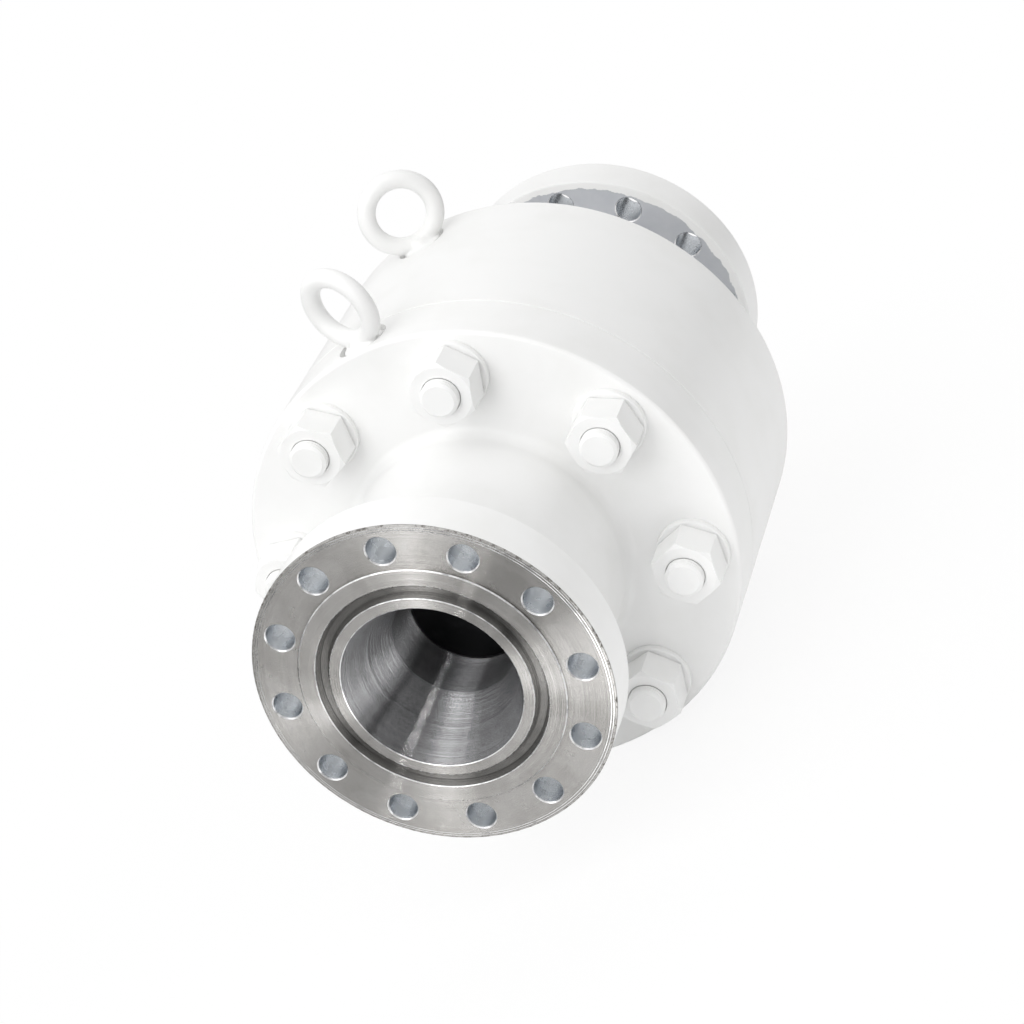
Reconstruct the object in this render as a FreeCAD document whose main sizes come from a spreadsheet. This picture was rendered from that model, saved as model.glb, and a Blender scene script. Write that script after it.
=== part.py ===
import FreeCAD, Part
import math
import os
import Sketcher

# Axial non-return valve with a bolted two-piece body and ring-joint end flanges.
# The flow runs along +X, +Z is up through the lifting eyes, and the origin is the
# centre of the inlet raised face. Sizes are in millimetres and degrees.

Vector = FreeCAD.Vector
ORIGIN_INDEX = -1
START, END, CENTRE = range(1, 4)
NUT_TURN_COUNT = 8

DRIVING_SIZES = {
    "overall_length": 916,
    "flange_diameter": 405,
    "flange_thickness": 60,
    "flange_edge_round": 2,
    "raised_face_diameter": 299,
    "raised_face_height": 3,
    "flange_bolt_circle": 345,
    "flange_bolt_hole": 33,
    "flange_bolt_count": 12,
    "ring_groove_diameter": 243.5,
    "ring_groove_width": 15.6,
    "ring_groove_depth": 9.5,
    "ring_groove_angle": 23,
    "mouth_diameter": 203,
    "throat_diameter": 140,
    "inlet_cone_length": 95,
    "inlet_cone_round": 60,
    "neck_diameter": 280,
    "neck_length": 40,
    "neck_fillet": 10,
    "hub_diameter": 320,
    "hub_fillet": 14,
    "hub_land": 24,
    "closure_face_place": 268,
    "closure_thickness": 76,
    "drum_diameter": 580,
    "drum_length": 262,
    "drum_edge_round": 5,
    "seam_chamfer": 1.5,
    "spigot_length": 12,
    "spigot_lip": 2,
    "spigot_clearance": 0.4,
    "gasket_thickness": 2,
    "gasket_width": 12,
    "gasket_gap": 4,
    "body_seal_section": 6,
    "cavity_start_diameter": 212,
    "passage_diameter": 300,
    "passage_straight": 50,
    "guide_ring_thickness": 22,
    "outlet_bore_length": 216,
    "passage_round": 60,
    "stud_diameter": 44,
    "stud_count": 8,
    "stud_circle": 476,
    "stud_projection": 65,
    "stud_engagement": 74,
    "stud_tip_room": 4,
    "stud_chamfer": 4,
    "stud_hole_clearance": 2,
    "nut_across_flats": 70,
    "nut_height": 45,
    "nut_chamfer_angle": 30,
    "nut_turn_1": 10,
    "nut_turn_2": 41,
    "nut_turn_3": 5,
    "nut_turn_4": 33,
    "nut_turn_5": 20,
    "nut_turn_6": 13,
    "nut_turn_7": 58,
    "nut_turn_8": 24,
    "washer_diameter": 84,
    "washer_thickness": 8,
    "washer_edge_round": 2,
    "eye_ring_radius": 41.2,
    "eye_section_radius": 11.2,
    "eye_ring_lift": 53,
    "eye_collar_diameter": 50,
    "eye_collar_height": 7,
    "eye_collar_round": 2.5,
    "eye_neck_flare": 3,
    "eye_neck_round": 4,
    "eye_neck_diameter": 26,
    "eye_shank_diameter": 30,
    "eye_shank_length": 44,
    "eye_shank_chamfer": 3,
    "eye_recess_diameter": 62,
    "eye_recess_depth": 9,
    "eye_front_place": 302,
    "eye_rear_place": 553.6,
    "eye_front_turn": 66.3,
    "eye_rear_turn": -66.4,
    "eye_hole_room": 3,
    "fit_clearance": 0.05,
    "cut_overrun": 2,
    "seat_front_place": 132,
    "seat_body_diameter": 176,
    "seat_body_length": 28,
    "seat_flange_diameter": 208,
    "seat_flange_thickness": 14,
    "seat_fit_clearance": 0.1,
    "seat_recess_clearance": 0.3,
    "seat_cone_length": 12,
    "insert_length": 6,
    "insert_outer_diameter": 174,
    "seat_seal_section": 4.5,
    "seat_seal_place": 146,
    "seal_groove_room": 1.5,
    "seat_screw_count": 8,
    "seat_screw_circle": 192,
    "seat_screw_diameter": 8,
    "seat_screw_head_diameter": 13,
    "seat_screw_head_height": 8,
    "seat_screw_length": 20,
    "seat_screw_sink": 9,
    "seat_screw_hex": 6,
    "seat_screw_clearance": 0.5,
    "seat_screw_chamfer": 1,
    "disc_gap": 0.3,
    "disc_rim_diameter": 168,
    "disc_nose_place": 150,
    "disc_nose_radius": 250,
    "disc_cone_start_diameter": 132,
    "disc_rim_back_place": 196,
    "disc_recess_place": 184,
    "disc_recess_diameter": 120,
    "disc_recess_lean": 4,
    "disc_edge_round": 2,
    "disc_back_round": 3,
    "disc_hub_diameter": 68,
    "disc_hub_back_place": 200,
    "disc_stroke": 40,
    "stem_diameter": 40,
    "stem_front_place": 168,
    "stem_back_place": 440,
    "stem_chamfer": 2,
    "lock_pin_diameter": 8,
    "lock_pin_place": 192,
    "lock_pin_inset": 1,
    "spring_plate_thickness": 6,
    "spring_plate_diameter": 76,
    "spring_plate_spigot": 4,
    "spring_coil_clearance": 0.6,
    "spring_wire": 7,
    "spring_mean_diameter": 61,
    "spring_turns": 6.5,
    "spring_seat_gap": 0.3,
    "guide_front_place": 238,
    "guide_front_diameter": 172,
    "guide_front_round": 8,
    "guide_belly_place": 360,
    "guide_belly_diameter": 250,
    "guide_belly_round": 150,
    "guide_back_diameter": 224,
    "guide_ring_length": 114,
    "guide_ring_clearance": 0.3,
    "guide_pocket_diameter": 80,
    "guide_pocket_length": 67,
    "guide_relief_diameter": 46,
    "rib_count": 4,
    "rib_thickness": 16,
    "rib_front_gap": 4,
    "rib_back_place": 456,
    "rib_nose_round": 7,
    "rib_body_length": 56,
    "rib_tail_thickness": 4,
    "rib_root": 5,
    "bush_outer_diameter": 54,
    "bush_length": 40,
    "bush_running_clearance": 0.06,
    "rear_bush_place": 395,
    "retaining_ring_thickness": 2.5,
    "retaining_ring_outer_diameter": 58,
    "retaining_ring_inner_diameter": 46,
    "retaining_ring_gap": 12,
    "stop_ring_diameter": 132,
    "stop_ring_width": 12,
    "stop_ring_sink": 6,
    "stop_ring_gap": 0.3,
    "stop_ring_round": 1,
    "tail_joint_diameter": 120,
    "tail_joint_length": 20,
    "tail_joint_clearance": 0.1,
    "tail_length": 180,
    "tail_front_share": 0.93,
    "tail_front_round": 250,
    "tail_rear_share": 0.45,
    "tail_rear_bend_share": 0.8,
    "tail_rear_round": 120,
    "tail_tip_round": 4,
    "tail_tip_diameter": 20,
    "tail_bore_diameter": 48,
    "tail_bore_room": 16,
    "tail_bore_round": 6,
    "lock_screw_diameter": 8,
    "lock_screw_length": 30,
    "lock_screw_grip": 10,
    "lock_screw_socket": 4,
    "dowel_diameter": 10,
    "dowel_depth": 10,
    "dowel_length": 24,
}

document = FreeCAD.newDocument("NonReturnValve")
sheet = document.addObject("Spreadsheet::Sheet", "Sizes")


def fill_sheet():
    """Write every driving size into the sheet as a number with a word for its alias."""
    for row, (name, number) in enumerate(DRIVING_SIZES.items(), start=1):
        sheet.set("A" + str(row), name)
        sheet.set("B" + str(row), str(number))
        sheet.setAlias("B" + str(row), name)
    document.recompute()


class Size:
    """A size that is known as a number and as the sheet expression that gives it."""

    def __init__(self, number, words):
        self.number = float(number)
        self.words = words

    def __add__(self, other):
        return combined(self, "+", other)

    def __radd__(self, other):
        return combined(other, "+", self)

    def __sub__(self, other):
        return combined(self, "-", other)

    def __rsub__(self, other):
        return combined(other, "-", self)

    def __mul__(self, other):
        return combined(self, "*", other)

    def __rmul__(self, other):
        return combined(other, "*", self)

    def __truediv__(self, other):
        return combined(self, "/", other)

    def __rtruediv__(self, other):
        return combined(other, "/", self)


def as_size(item):
    """A plain number as a Size, and a Size as it is."""
    if isinstance(item, Size):
        return item
    return Size(item, str(item))


def combined(left, sign, right):
    """Two sizes joined by one arithmetic sign."""
    left, right = as_size(left), as_size(right)
    results = {
        "+": lambda: left.number + right.number,
        "-": lambda: left.number - right.number,
        "*": lambda: left.number * right.number,
        "/": lambda: left.number / right.number,
    }
    return Size(results[sign](), "(" + left.words + " " + sign + " " + right.words + ")")


def size(name):
    """The sheet cell with this alias."""
    return Size(getattr(sheet, name), "Sizes." + name)


def half(name):
    """The radius that belongs to a diameter in the sheet."""
    return size(name) / 2


def turned(function_name, angle):
    """sin, cos or tan of an angle that the sheet holds as plain degrees."""
    number = getattr(math, function_name)(math.radians(angle.number))
    return Size(number, function_name + "(" + angle.words + " * 1 deg)")


def new_body(label, several_solids=False):
    """An empty body whose label is the name of the piece."""
    body = document.addObject("PartDesign::Body", label)
    body.Label = label
    body.AllowCompound = several_solids
    return body


def origin_plane(body, role):
    """One of the body's own origin planes."""
    for feature in body.Origin.OriginFeatures:
        if feature.Role == role:
            return feature
    raise ValueError("no origin plane " + role)


def new_sketch(body, name, role, lift=0, turn=None, turn_axis=Vector(0, 0, 1)):
    """A sketch on an origin plane, lifted along its normal and turned about an axis."""
    sketch = body.newObject("Sketcher::SketchObject", name)
    sketch.AttachmentSupport = [(origin_plane(body, role), "")]
    sketch.MapMode = "FlatFace"
    lift = as_size(lift)
    angle = as_size(0) if turn is None else turn
    rotation = FreeCAD.Rotation(turn_axis, angle.number)
    sketch.AttachmentOffset = FreeCAD.Placement(Vector(0, 0, lift.number), rotation)
    if "Sizes" in lift.words:
        sketch.setExpression("AttachmentOffset.Base.z", lift.words)
    if "Sizes" in angle.words:
        sketch.setExpression("AttachmentOffset.Rotation.Angle", angle.words)
    return sketch


def bind(sketch, constraint, name, wanted):
    """Add a dimension to the sketch and tie it to the sheet."""
    index = sketch.addConstraint(constraint)
    sketch.renameConstraint(index, name)
    wanted = as_size(wanted)
    if "Sizes" in wanted.words:
        sketch.setExpression("Constraints." + name, wanted.words)


def place_point(sketch, geometry, position, name, across, along):
    """Dimension one point of the sketch from the sketch origin."""
    across, along = as_size(across), as_size(along)
    level = Sketcher.Constraint("DistanceX", ORIGIN_INDEX, START, geometry, position, across.number)
    bind(sketch, level, name + "_x", across)
    upright = Sketcher.Constraint("DistanceY", ORIGIN_INDEX, START, geometry, position, along.number)
    bind(sketch, upright, name + "_y", along)


def corner_arc(before, corner, after, radius):
    """The tangent points and the arc that round one corner of an outline."""
    back = (before - corner).normalize()
    ahead = (after - corner).normalize()
    opening = back.getAngle(ahead)
    reach = radius / math.tan(opening / 2)
    entry = corner + back * reach
    leave = corner + ahead * reach
    centre = corner + (back + ahead).normalize() * (radius / math.sin(opening / 2))
    turns_left = (corner - before).cross(after - corner).z > 0
    first, last = (entry, leave) if turns_left else (leave, entry)
    circle = Part.Circle(centre, Vector(0, 0, 1), radius)
    start_angle = math.atan2(first.y - centre.y, first.x - centre.x)
    end_angle = math.atan2(last.y - centre.y, last.x - centre.x)
    return entry, leave, Part.ArcOfCircle(circle, start_angle, end_angle), turns_left


def draw_outline(sketch, corners, prefix="p"):
    """A closed outline of straight runs. A corner is (x, y) or (x, y, rounding)."""
    corners = [[as_size(part) for part in corner] for corner in corners]
    points = [Vector(corner[0].number, corner[1].number, 0) for corner in corners]
    count = len(points)
    entries, leaves, arcs = [], [], []
    for index, corner in enumerate(corners):
        entry = leave = points[index]
        arc = None
        if len(corner) == 3:
            before, after = points[index - 1], points[(index + 1) % count]
            entry, leave, *arc = corner_arc(before, points[index], after, corner[2].number)
        entries.append(entry)
        leaves.append(leave)
        arcs.append(arc)
    lines = []
    for index in range(count):
        run = Part.LineSegment(leaves[index], entries[(index + 1) % count])
        lines.append(sketch.addGeometry(run, False))
    for index, corner in enumerate(corners):
        incoming, outgoing = lines[index - 1], lines[index]
        name = prefix + str(index)
        if arcs[index] is None:
            sketch.addConstraint(Sketcher.Constraint("Coincident", incoming, END, outgoing, START))
            place_point(sketch, outgoing, START, name, corner[0], corner[1])
            continue
        shape, turns_left = arcs[index]
        arc = sketch.addGeometry(shape, False)
        entry_end, leave_end = (START, END) if turns_left else (END, START)
        sketch.addConstraint(Sketcher.Constraint("Tangent", incoming, END, arc, entry_end))
        sketch.addConstraint(Sketcher.Constraint("Tangent", outgoing, START, arc, leave_end))
        bind(sketch, Sketcher.Constraint("Radius", arc, corner[2].number), name + "_round", corner[2])
        tip = sketch.addGeometry(Part.Point(points[index]), True)
        sketch.addConstraint(Sketcher.Constraint("PointOnObject", tip, START, incoming))
        sketch.addConstraint(Sketcher.Constraint("PointOnObject", tip, START, outgoing))
        place_point(sketch, tip, START, name, corner[0], corner[1])


def draw_circle(sketch, name, across, along, radius):
    """A circle dimensioned from the sketch origin."""
    across, along, radius = as_size(across), as_size(along), as_size(radius)
    centre = Vector(across.number, along.number, 0)
    shape = Part.Circle(centre, Vector(0, 0, 1), radius.number)
    circle = sketch.addGeometry(shape, False)
    place_point(sketch, circle, CENTRE, name, across, along)
    bind(sketch, Sketcher.Constraint("Radius", circle, radius.number), name + "_radius", radius)


def volume_of(body):
    """The body's volume, or nothing while it has no feature."""
    document.recompute()
    return body.Shape.Volume if body.Tip else 0


def check_change(body, before, grows, name):
    """A feature that adds or removes nothing points the wrong way."""
    after = volume_of(body)
    changed = after > before if grows else after < before
    if not changed:
        raise ValueError(name + " changes nothing")


def turn_outline(body, name, corners, axis="H_Axis", cut=False):
    """Turn an outline in the X-Z plane about the flow axis, as material or as a cut."""
    before = volume_of(body)
    sketch = new_sketch(body, name + "_outline", "XZ_Plane")
    draw_outline(sketch, corners)
    kind = "PartDesign::Groove" if cut else "PartDesign::Revolution"
    feature = body.newObject(kind, name)
    feature.Profile = sketch
    feature.ReferenceAxis = (sketch, [axis])
    feature.Angle = 360
    check_change(body, before, not cut, name)
    return feature


def round_cut(body, name, role, lift, across, along, radius, depth, forward, turn=None):
    """A round hole cut from a lifted plane, forward along its normal or backward."""
    before = volume_of(body)
    sketch = new_sketch(body, name + "_circle", role, lift, turn)
    draw_circle(sketch, "hole", across, along, radius)
    pocket = body.newObject("PartDesign::Pocket", name)
    pocket.Profile = sketch
    pocket.Reversed = forward
    pocket.setExpression("Length", as_size(depth).words)
    check_change(body, before, False, name)
    return pocket, sketch


def repeat_round(body, name, feature, sketch, count):
    """Repeat a feature evenly about the flow axis."""
    pattern = body.newObject("PartDesign::PolarPattern", name)
    pattern.Originals = [feature]
    pattern.Axis = (sketch, ["N_Axis"])
    pattern.Angle = 360
    pattern.setExpression("Occurrences", count.words)
    body.Tip = pattern
    document.recompute()
    return pattern


def drill_circle(body, name, start, depth, circle_radius, hole_radius, count, turn):
    """A circle of holes along the flow, drilled from start towards the outlet."""
    pocket, sketch = round_cut(
        body, name, "YZ_Plane", start, 0, circle_radius, hole_radius, depth, True, turn)
    before = body.Shape.Volume
    repeat_round(body, name + "_circle_pattern", pocket, sketch, count)
    check_change(body, before, False, name + " pattern")


def half_pitch(count_name):
    """The angle that puts a pattern's holes evenly either side of the top."""
    return 180 / size(count_name)


def groove_corners(face, inward):
    """The ring-joint groove in an end face, from its inner to its outer edge."""
    middle = half("ring_groove_diameter")
    mouth = half("ring_groove_width")
    depth = size("ring_groove_depth")
    floor = mouth - depth * turned("tan", size("ring_groove_angle"))
    bottom = face + inward * depth
    return [
        (face, middle - mouth),
        (bottom, middle - floor),
        (bottom, middle + floor),
        (face, middle + mouth),
    ]


def seam_place():
    """Where the closure meets the main body."""
    return size("closure_face_place") + size("closure_thickness")


def spigot_end():
    return seam_place() + size("spigot_length")


def shoulder_place():
    """The body shoulder that carries the guide ring."""
    return spigot_end() + size("guide_ring_length")


def seat_flange_front():
    return size("seat_front_place") + size("seat_body_length")


def seat_flange_back():
    return seat_flange_front() + size("seat_flange_thickness")


def seat_cone_start():
    return seat_flange_back() - size("seat_cone_length")


def stem_radius():
    return half("stem_diameter")


def spring_plate_back():
    return size("disc_hub_back_place") + size("spring_plate_thickness")


def guide_pocket_floor():
    return size("guide_front_place") + size("guide_pocket_length")


def guide_ring_radius():
    """Outer radius of the ring that the body bore holds."""
    return half("passage_diameter") + size("guide_ring_thickness")


def gasket_radius():
    """Inner radius of the body gasket, outside the guide ring."""
    return guide_ring_radius() + size("gasket_gap")


def spigot_radius():
    """Outer radius of the locating spigot, which covers the gasket."""
    return gasket_radius() + size("gasket_width") + size("spigot_lip")


def eye_floor():
    """Height of the spot faces under the lifting eyes."""
    return half("drum_diameter") - size("eye_recess_depth")


def flange_bolt_holes(body, name, start):
    drill_circle(
        body, name, start, size("flange_thickness"), half("flange_bolt_circle"),
        half("flange_bolt_hole"), size("flange_bolt_count"), half_pitch("flange_bolt_count"))


def cut_eye_seat(body, place):
    """The spot face and the blind hole that hold one lifting eye."""
    floor = eye_floor()
    clear_height = size("eye_recess_depth") + size("cut_overrun")
    round_cut(body, "eye_recess", "XY_Plane", floor, place, 0,
              half("eye_recess_diameter"), clear_height, True)
    hole_radius = half("eye_shank_diameter") + size("fit_clearance")
    hole_depth = size("eye_shank_length") + size("eye_hole_room")
    round_cut(body, "eye_hole", "XY_Plane", floor, place, 0, hole_radius, hole_depth, False)


def make_inlet_closure():
    """The bolted closure with the inlet flange, the converging throat and the cavity flare."""
    body = new_body("inlet_closure")
    face = as_size(0)
    step = size("raised_face_height")
    flange_back = step + size("flange_thickness")
    closure_face = size("closure_face_place")
    edge = size("flange_edge_round")
    seam = seam_place()
    spigot = spigot_radius()
    passage = half("passage_diameter")
    seat_body_bore = half("seat_body_diameter") + size("seat_fit_clearance")
    seat_flange_bore = half("seat_flange_diameter") + size("seat_recess_clearance")
    corners = [(face, half("mouth_diameter"))]
    corners += groove_corners(face, 1)
    corners += [
        (face, half("raised_face_diameter")),
        (step, half("raised_face_diameter")),
        (step, half("flange_diameter"), edge),
        (flange_back, half("flange_diameter"), edge),
        (flange_back, half("neck_diameter"), size("neck_fillet")),
        (flange_back + size("neck_length"), half("neck_diameter")),
        (closure_face - size("hub_land"), half("hub_diameter")),
        (closure_face, half("hub_diameter"), size("hub_fillet")),
        (closure_face, half("drum_diameter"), size("drum_edge_round")),
        (seam - size("seam_chamfer"), half("drum_diameter")),
        (seam, half("drum_diameter") - size("seam_chamfer")),
        (seam, spigot),
        (spigot_end(), spigot),
        (spigot_end(), passage),
        (seam, passage),
        (seat_flange_back(), half("cavity_start_diameter")),
        (seat_flange_back(), seat_flange_bore),
        (seat_flange_front(), seat_flange_bore),
        (seat_flange_front(), seat_body_bore),
        (size("seat_front_place"), seat_body_bore),
        (size("seat_front_place"), half("throat_diameter")),
        (size("inlet_cone_length"), half("throat_diameter"), size("inlet_cone_round")),
    ]
    turn_outline(body, "closure_turning", corners)
    turn_outline(body, "body_seal_groove", body_seal_groove_corners(), cut=True)
    flange_bolt_holes(body, "inlet_bolt_hole", step)
    stud_hole_radius = half("stud_diameter") + size("stud_hole_clearance")
    drill_circle(
        body, "stud_hole", closure_face, size("closure_thickness"), half("stud_circle"),
        stud_hole_radius, size("stud_count"), half_pitch("stud_count"))
    screw_depth = size("seat_screw_length")
    screw_radius = half("seat_screw_diameter") + size("fit_clearance")
    drill_circle(
        body, "seat_screw_hole", seat_flange_front() - screw_depth, screw_depth,
        half("seat_screw_circle"), screw_radius, size("seat_screw_count"),
        half_pitch("seat_screw_count"))
    cut_eye_seat(body, size("eye_front_place"))
    return body


def body_seal_groove_corners():
    """The groove round the spigot for the body seal ring."""
    middle = seam_place() + size("spigot_length") / 2
    reach = (size("body_seal_section") + size("seal_groove_room")) / 2
    floor = spigot_radius() - size("body_seal_section")
    outside = spigot_radius() + size("cut_overrun")
    return [
        (middle - reach, floor),
        (middle + reach, floor),
        (middle + reach, outside),
        (middle - reach, outside),
    ]


def make_main_body():
    """The main body with the drum, the rear hub, the outlet flange and the passage."""
    body = new_body("main_body")
    outlet = size("overall_length")
    step = outlet - size("raised_face_height")
    flange_front = step - size("flange_thickness")
    edge = size("flange_edge_round")
    seam = seam_place()
    drum_back = seam + size("drum_length")
    shoulder = shoulder_place()
    passage = half("passage_diameter")
    counterbore = spigot_radius() + size("spigot_clearance")
    counterbore_floor = spigot_end() + size("gasket_thickness")
    guide_bore = guide_ring_radius() + size("guide_ring_clearance")
    corners = [
        (seam, counterbore),
        (seam, half("drum_diameter") - size("seam_chamfer")),
        (seam + size("seam_chamfer"), half("drum_diameter")),
        (drum_back, half("drum_diameter"), size("drum_edge_round")),
        (drum_back, half("hub_diameter"), size("hub_fillet")),
        (drum_back + size("hub_land"), half("hub_diameter")),
        (flange_front - size("neck_length"), half("neck_diameter")),
        (flange_front, half("neck_diameter"), size("neck_fillet")),
        (flange_front, half("flange_diameter"), edge),
        (step, half("flange_diameter"), edge),
        (step, half("raised_face_diameter")),
        (outlet, half("raised_face_diameter")),
    ]
    corners += reversed(groove_corners(outlet, -1))
    corners += [
        (outlet, half("mouth_diameter")),
        (outlet - size("outlet_bore_length"), half("mouth_diameter"), size("passage_round")),
        (shoulder + size("passage_straight"), passage, size("passage_round")),
        (shoulder, passage),
        (shoulder, guide_bore),
        (counterbore_floor, guide_bore),
        (counterbore_floor, counterbore),
    ]
    turn_outline(body, "body_turning", corners)
    flange_bolt_holes(body, "outlet_bolt_hole", flange_front)
    drill_circle(
        body, "stud_socket", seam, size("stud_engagement") + size("stud_tip_room"),
        half("stud_circle"), half("stud_diameter") + size("fit_clearance"),
        size("stud_count"), half_pitch("stud_count"))
    dowel_hole = half("dowel_diameter") + size("fit_clearance")
    hole_depth = size("dowel_length") - size("dowel_depth") + size("cut_overrun")
    round_cut(body, "dowel_hole", "YZ_Plane", shoulder, 0, dowel_circle_radius(),
              dowel_hole, hole_depth, True)
    cut_eye_seat(body, size("eye_rear_place"))
    return body


def dowel_circle_radius():
    return (half("passage_diameter") + guide_ring_radius()) / 2


def turn_beside_axis(body, name, corners, middle, count_name):
    """Turn an outline about its own centre line beside the flow axis, then repeat it."""
    sketch = new_sketch(body, name + "_outline", "XZ_Plane")
    draw_outline(sketch, corners)
    places = [corner[0].number for corner in corners]
    first = Vector(min(places), middle.number, 0)
    last = Vector(max(places), middle.number, 0)
    line = sketch.addGeometry(Part.LineSegment(first, last), True)
    sketch.addConstraint(Sketcher.Constraint("Horizontal", line))
    gap = Sketcher.Constraint("DistanceY", ORIGIN_INDEX, START, line, START, middle.number)
    bind(sketch, gap, "centre_line", middle)
    feature = body.newObject("PartDesign::Revolution", name)
    feature.Profile = sketch
    feature.ReferenceAxis = (sketch, ["Axis0"])
    feature.Angle = 360
    document.recompute()
    pattern = body.newObject("PartDesign::PolarPattern", name + "_circle")
    pattern.Originals = [feature]
    pattern.Axis = (sketch, ["H_Axis"])
    pattern.Angle = 360
    pattern.setExpression("Occurrences", size(count_name).words)
    body.Tip = pattern
    turn_about_flow(body, half_pitch(count_name))


def turn_about_flow(item, angle):
    """Turn a finished piece about the flow axis."""
    item.Placement = FreeCAD.Placement(Vector(), FreeCAD.Rotation(Vector(1, 0, 0), angle.number))
    item.setExpression("Placement.Rotation.Angle", angle.words + " * 1 deg")


def make_studs():
    """The closure studs, one turned outline repeated round the stud circle."""
    body = new_body("closure_studs", True)
    radius = half("stud_diameter")
    middle = half("stud_circle")
    front = size("closure_face_place") - size("stud_projection")
    back = seam_place() + size("stud_engagement")
    chamfer = size("stud_chamfer")
    corners = [
        (front, middle),
        (front, middle + radius - chamfer),
        (front + chamfer, middle + radius),
        (back - chamfer, middle + radius),
        (back, middle + radius - chamfer),
        (back, middle),
    ]
    turn_beside_axis(body, "stud", corners, middle, "stud_count")
    return body


def make_washers():
    """Thick washers between the nuts and the closure face."""
    body = new_body("closure_washers", True)
    back = size("closure_face_place")
    front = back - size("washer_thickness")
    middle = half("stud_circle")
    bore = half("stud_diameter") + size("stud_hole_clearance") / 2
    outside = half("washer_diameter")
    edge = size("washer_edge_round")
    corners = [
        (front, middle + bore),
        (front, middle + outside, edge),
        (back, middle + outside),
        (back, middle + bore),
    ]
    turn_beside_axis(body, "washer", corners, middle, "stud_count")
    return body


def make_nut_blank():
    """One heavy hexagon nut on the flow axis, with its outer corners turned off."""
    body = new_body("closure_nut_blank")
    flats = size("nut_across_flats")
    corner_radius = flats / 2 / turned("cos", as_size(30))
    back = size("closure_face_place") - size("washer_thickness")
    front = back - size("nut_height")
    sketch = new_sketch(body, "nut_hexagon", "YZ_Plane", front)
    hexagon = []
    for corner in range(6):
        angle = as_size(30 + 60 * corner)
        hexagon.append((corner_radius * turned("cos", angle), corner_radius * turned("sin", angle)))
    draw_outline(sketch, hexagon)
    draw_circle(sketch, "bore", 0, 0, half("stud_diameter") + size("fit_clearance"))
    pad = body.newObject("PartDesign::Pad", "nut_height")
    pad.Profile = sketch
    pad.setExpression("Length", size("nut_height").words)
    document.recompute()
    overrun = size("cut_overrun")
    outside = corner_radius + overrun
    rise = (outside - flats / 2) * turned("tan", size("nut_chamfer_angle"))
    corners = [
        (front - overrun, flats / 2),
        (front, flats / 2),
        (front + rise, outside),
        (front - overrun, outside),
    ]
    turn_outline(body, "nut_chamfer", corners, cut=True)
    return body


def make_nuts():
    """The nuts on their studs, each left at its own angle by the wrench."""
    blank = make_nut_blank()
    places = []
    for index in range(int(size("stud_count").number)):
        link = document.addObject("App::Link", "closure_nut_" + str(index + 1))
        link.LinkedObject = blank
        around = (as_size(index) + 0.5) * 360 / size("stud_count")
        twist = size("nut_turn_" + str(index % NUT_TURN_COUNT + 1))
        across = half("stud_circle") * turned("sin", around)
        up = half("stud_circle") * turned("cos", around)
        rotation = FreeCAD.Rotation(Vector(1, 0, 0), twist.number)
        link.Placement = FreeCAD.Placement(Vector(0, across.number, up.number), rotation)
        link.setExpression("Placement.Base.y", across.words)
        link.setExpression("Placement.Base.z", up.words)
        link.setExpression("Placement.Rotation.Angle", twist.words + " * 1 deg")
        places.append(link)
    group = document.addObject("Part::Compound", "closure_nuts")
    group.Label = "closure_nuts"
    group.Links = places
    document.recompute()
    return group


def make_lifting_eye(label, place_name, turn_name):
    """A forged eye: a collar and shank turned about Z, and the ring above them."""
    body = new_body(label)
    shank = half("eye_shank_diameter")
    collar = half("eye_collar_diameter")
    neck = half("eye_neck_diameter")
    collar_top = size("eye_collar_height")
    length = size("eye_shank_length")
    neck_top = size("eye_ring_lift") - size("eye_ring_radius") + size("eye_section_radius") / 2
    chamfer = size("eye_shank_chamfer")
    flare = neck + size("eye_neck_flare")
    corners = [
        (0, 0 - length),
        (shank - chamfer, 0 - length),
        (shank, chamfer - length),
        (shank, as_size(0)),
        (collar, as_size(0)),
        (collar, collar_top, size("eye_collar_round")),
        (flare, collar_top + size("fit_clearance"), size("eye_neck_round")),
        (neck, neck_top),
        (0, neck_top),
    ]
    turn_outline(body, "eye_collar", corners, axis="V_Axis")
    sketch = new_sketch(body, "eye_ring_section", "YZ_Plane")
    lift = size("eye_ring_lift")
    draw_circle(sketch, "section", 0, lift + size("eye_ring_radius"), size("eye_section_radius"))
    ends = [Vector(-neck.number, lift.number, 0), Vector(neck.number, lift.number, 0)]
    line = sketch.addGeometry(Part.LineSegment(*ends), True)
    sketch.addConstraint(Sketcher.Constraint("Horizontal", line))
    gap = Sketcher.Constraint("DistanceY", ORIGIN_INDEX, START, line, START, lift.number)
    bind(sketch, gap, "ring_axis", lift)
    before = body.Shape.Volume
    ring = body.newObject("PartDesign::Revolution", "eye_ring")
    ring.Profile = sketch
    ring.ReferenceAxis = (sketch, ["Axis0"])
    ring.Angle = 360
    check_change(body, before, True, "eye_ring")
    place, angle = size(place_name), size(turn_name)
    rotation = FreeCAD.Rotation(Vector(0, 0, 1), angle.number)
    floor = eye_floor()
    body.Placement = FreeCAD.Placement(Vector(place.number, 0, floor.number), rotation)
    body.setExpression("Placement.Base.x", place.words)
    body.setExpression("Placement.Base.z", floor.words)
    body.setExpression("Placement.Rotation.Angle", angle.words + " * 1 deg")
    return body


def turned_piece(label, corners):
    """A piece that is one outline turned about the flow axis."""
    body = new_body(label)
    turn_outline(body, label + "_turning", corners)
    return body


def ring_piece(label, front, back, inner, outer):
    """A plain ring between two places along the flow."""
    return turned_piece(label, [(front, inner), (front, outer), (back, outer), (back, inner)])


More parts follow.
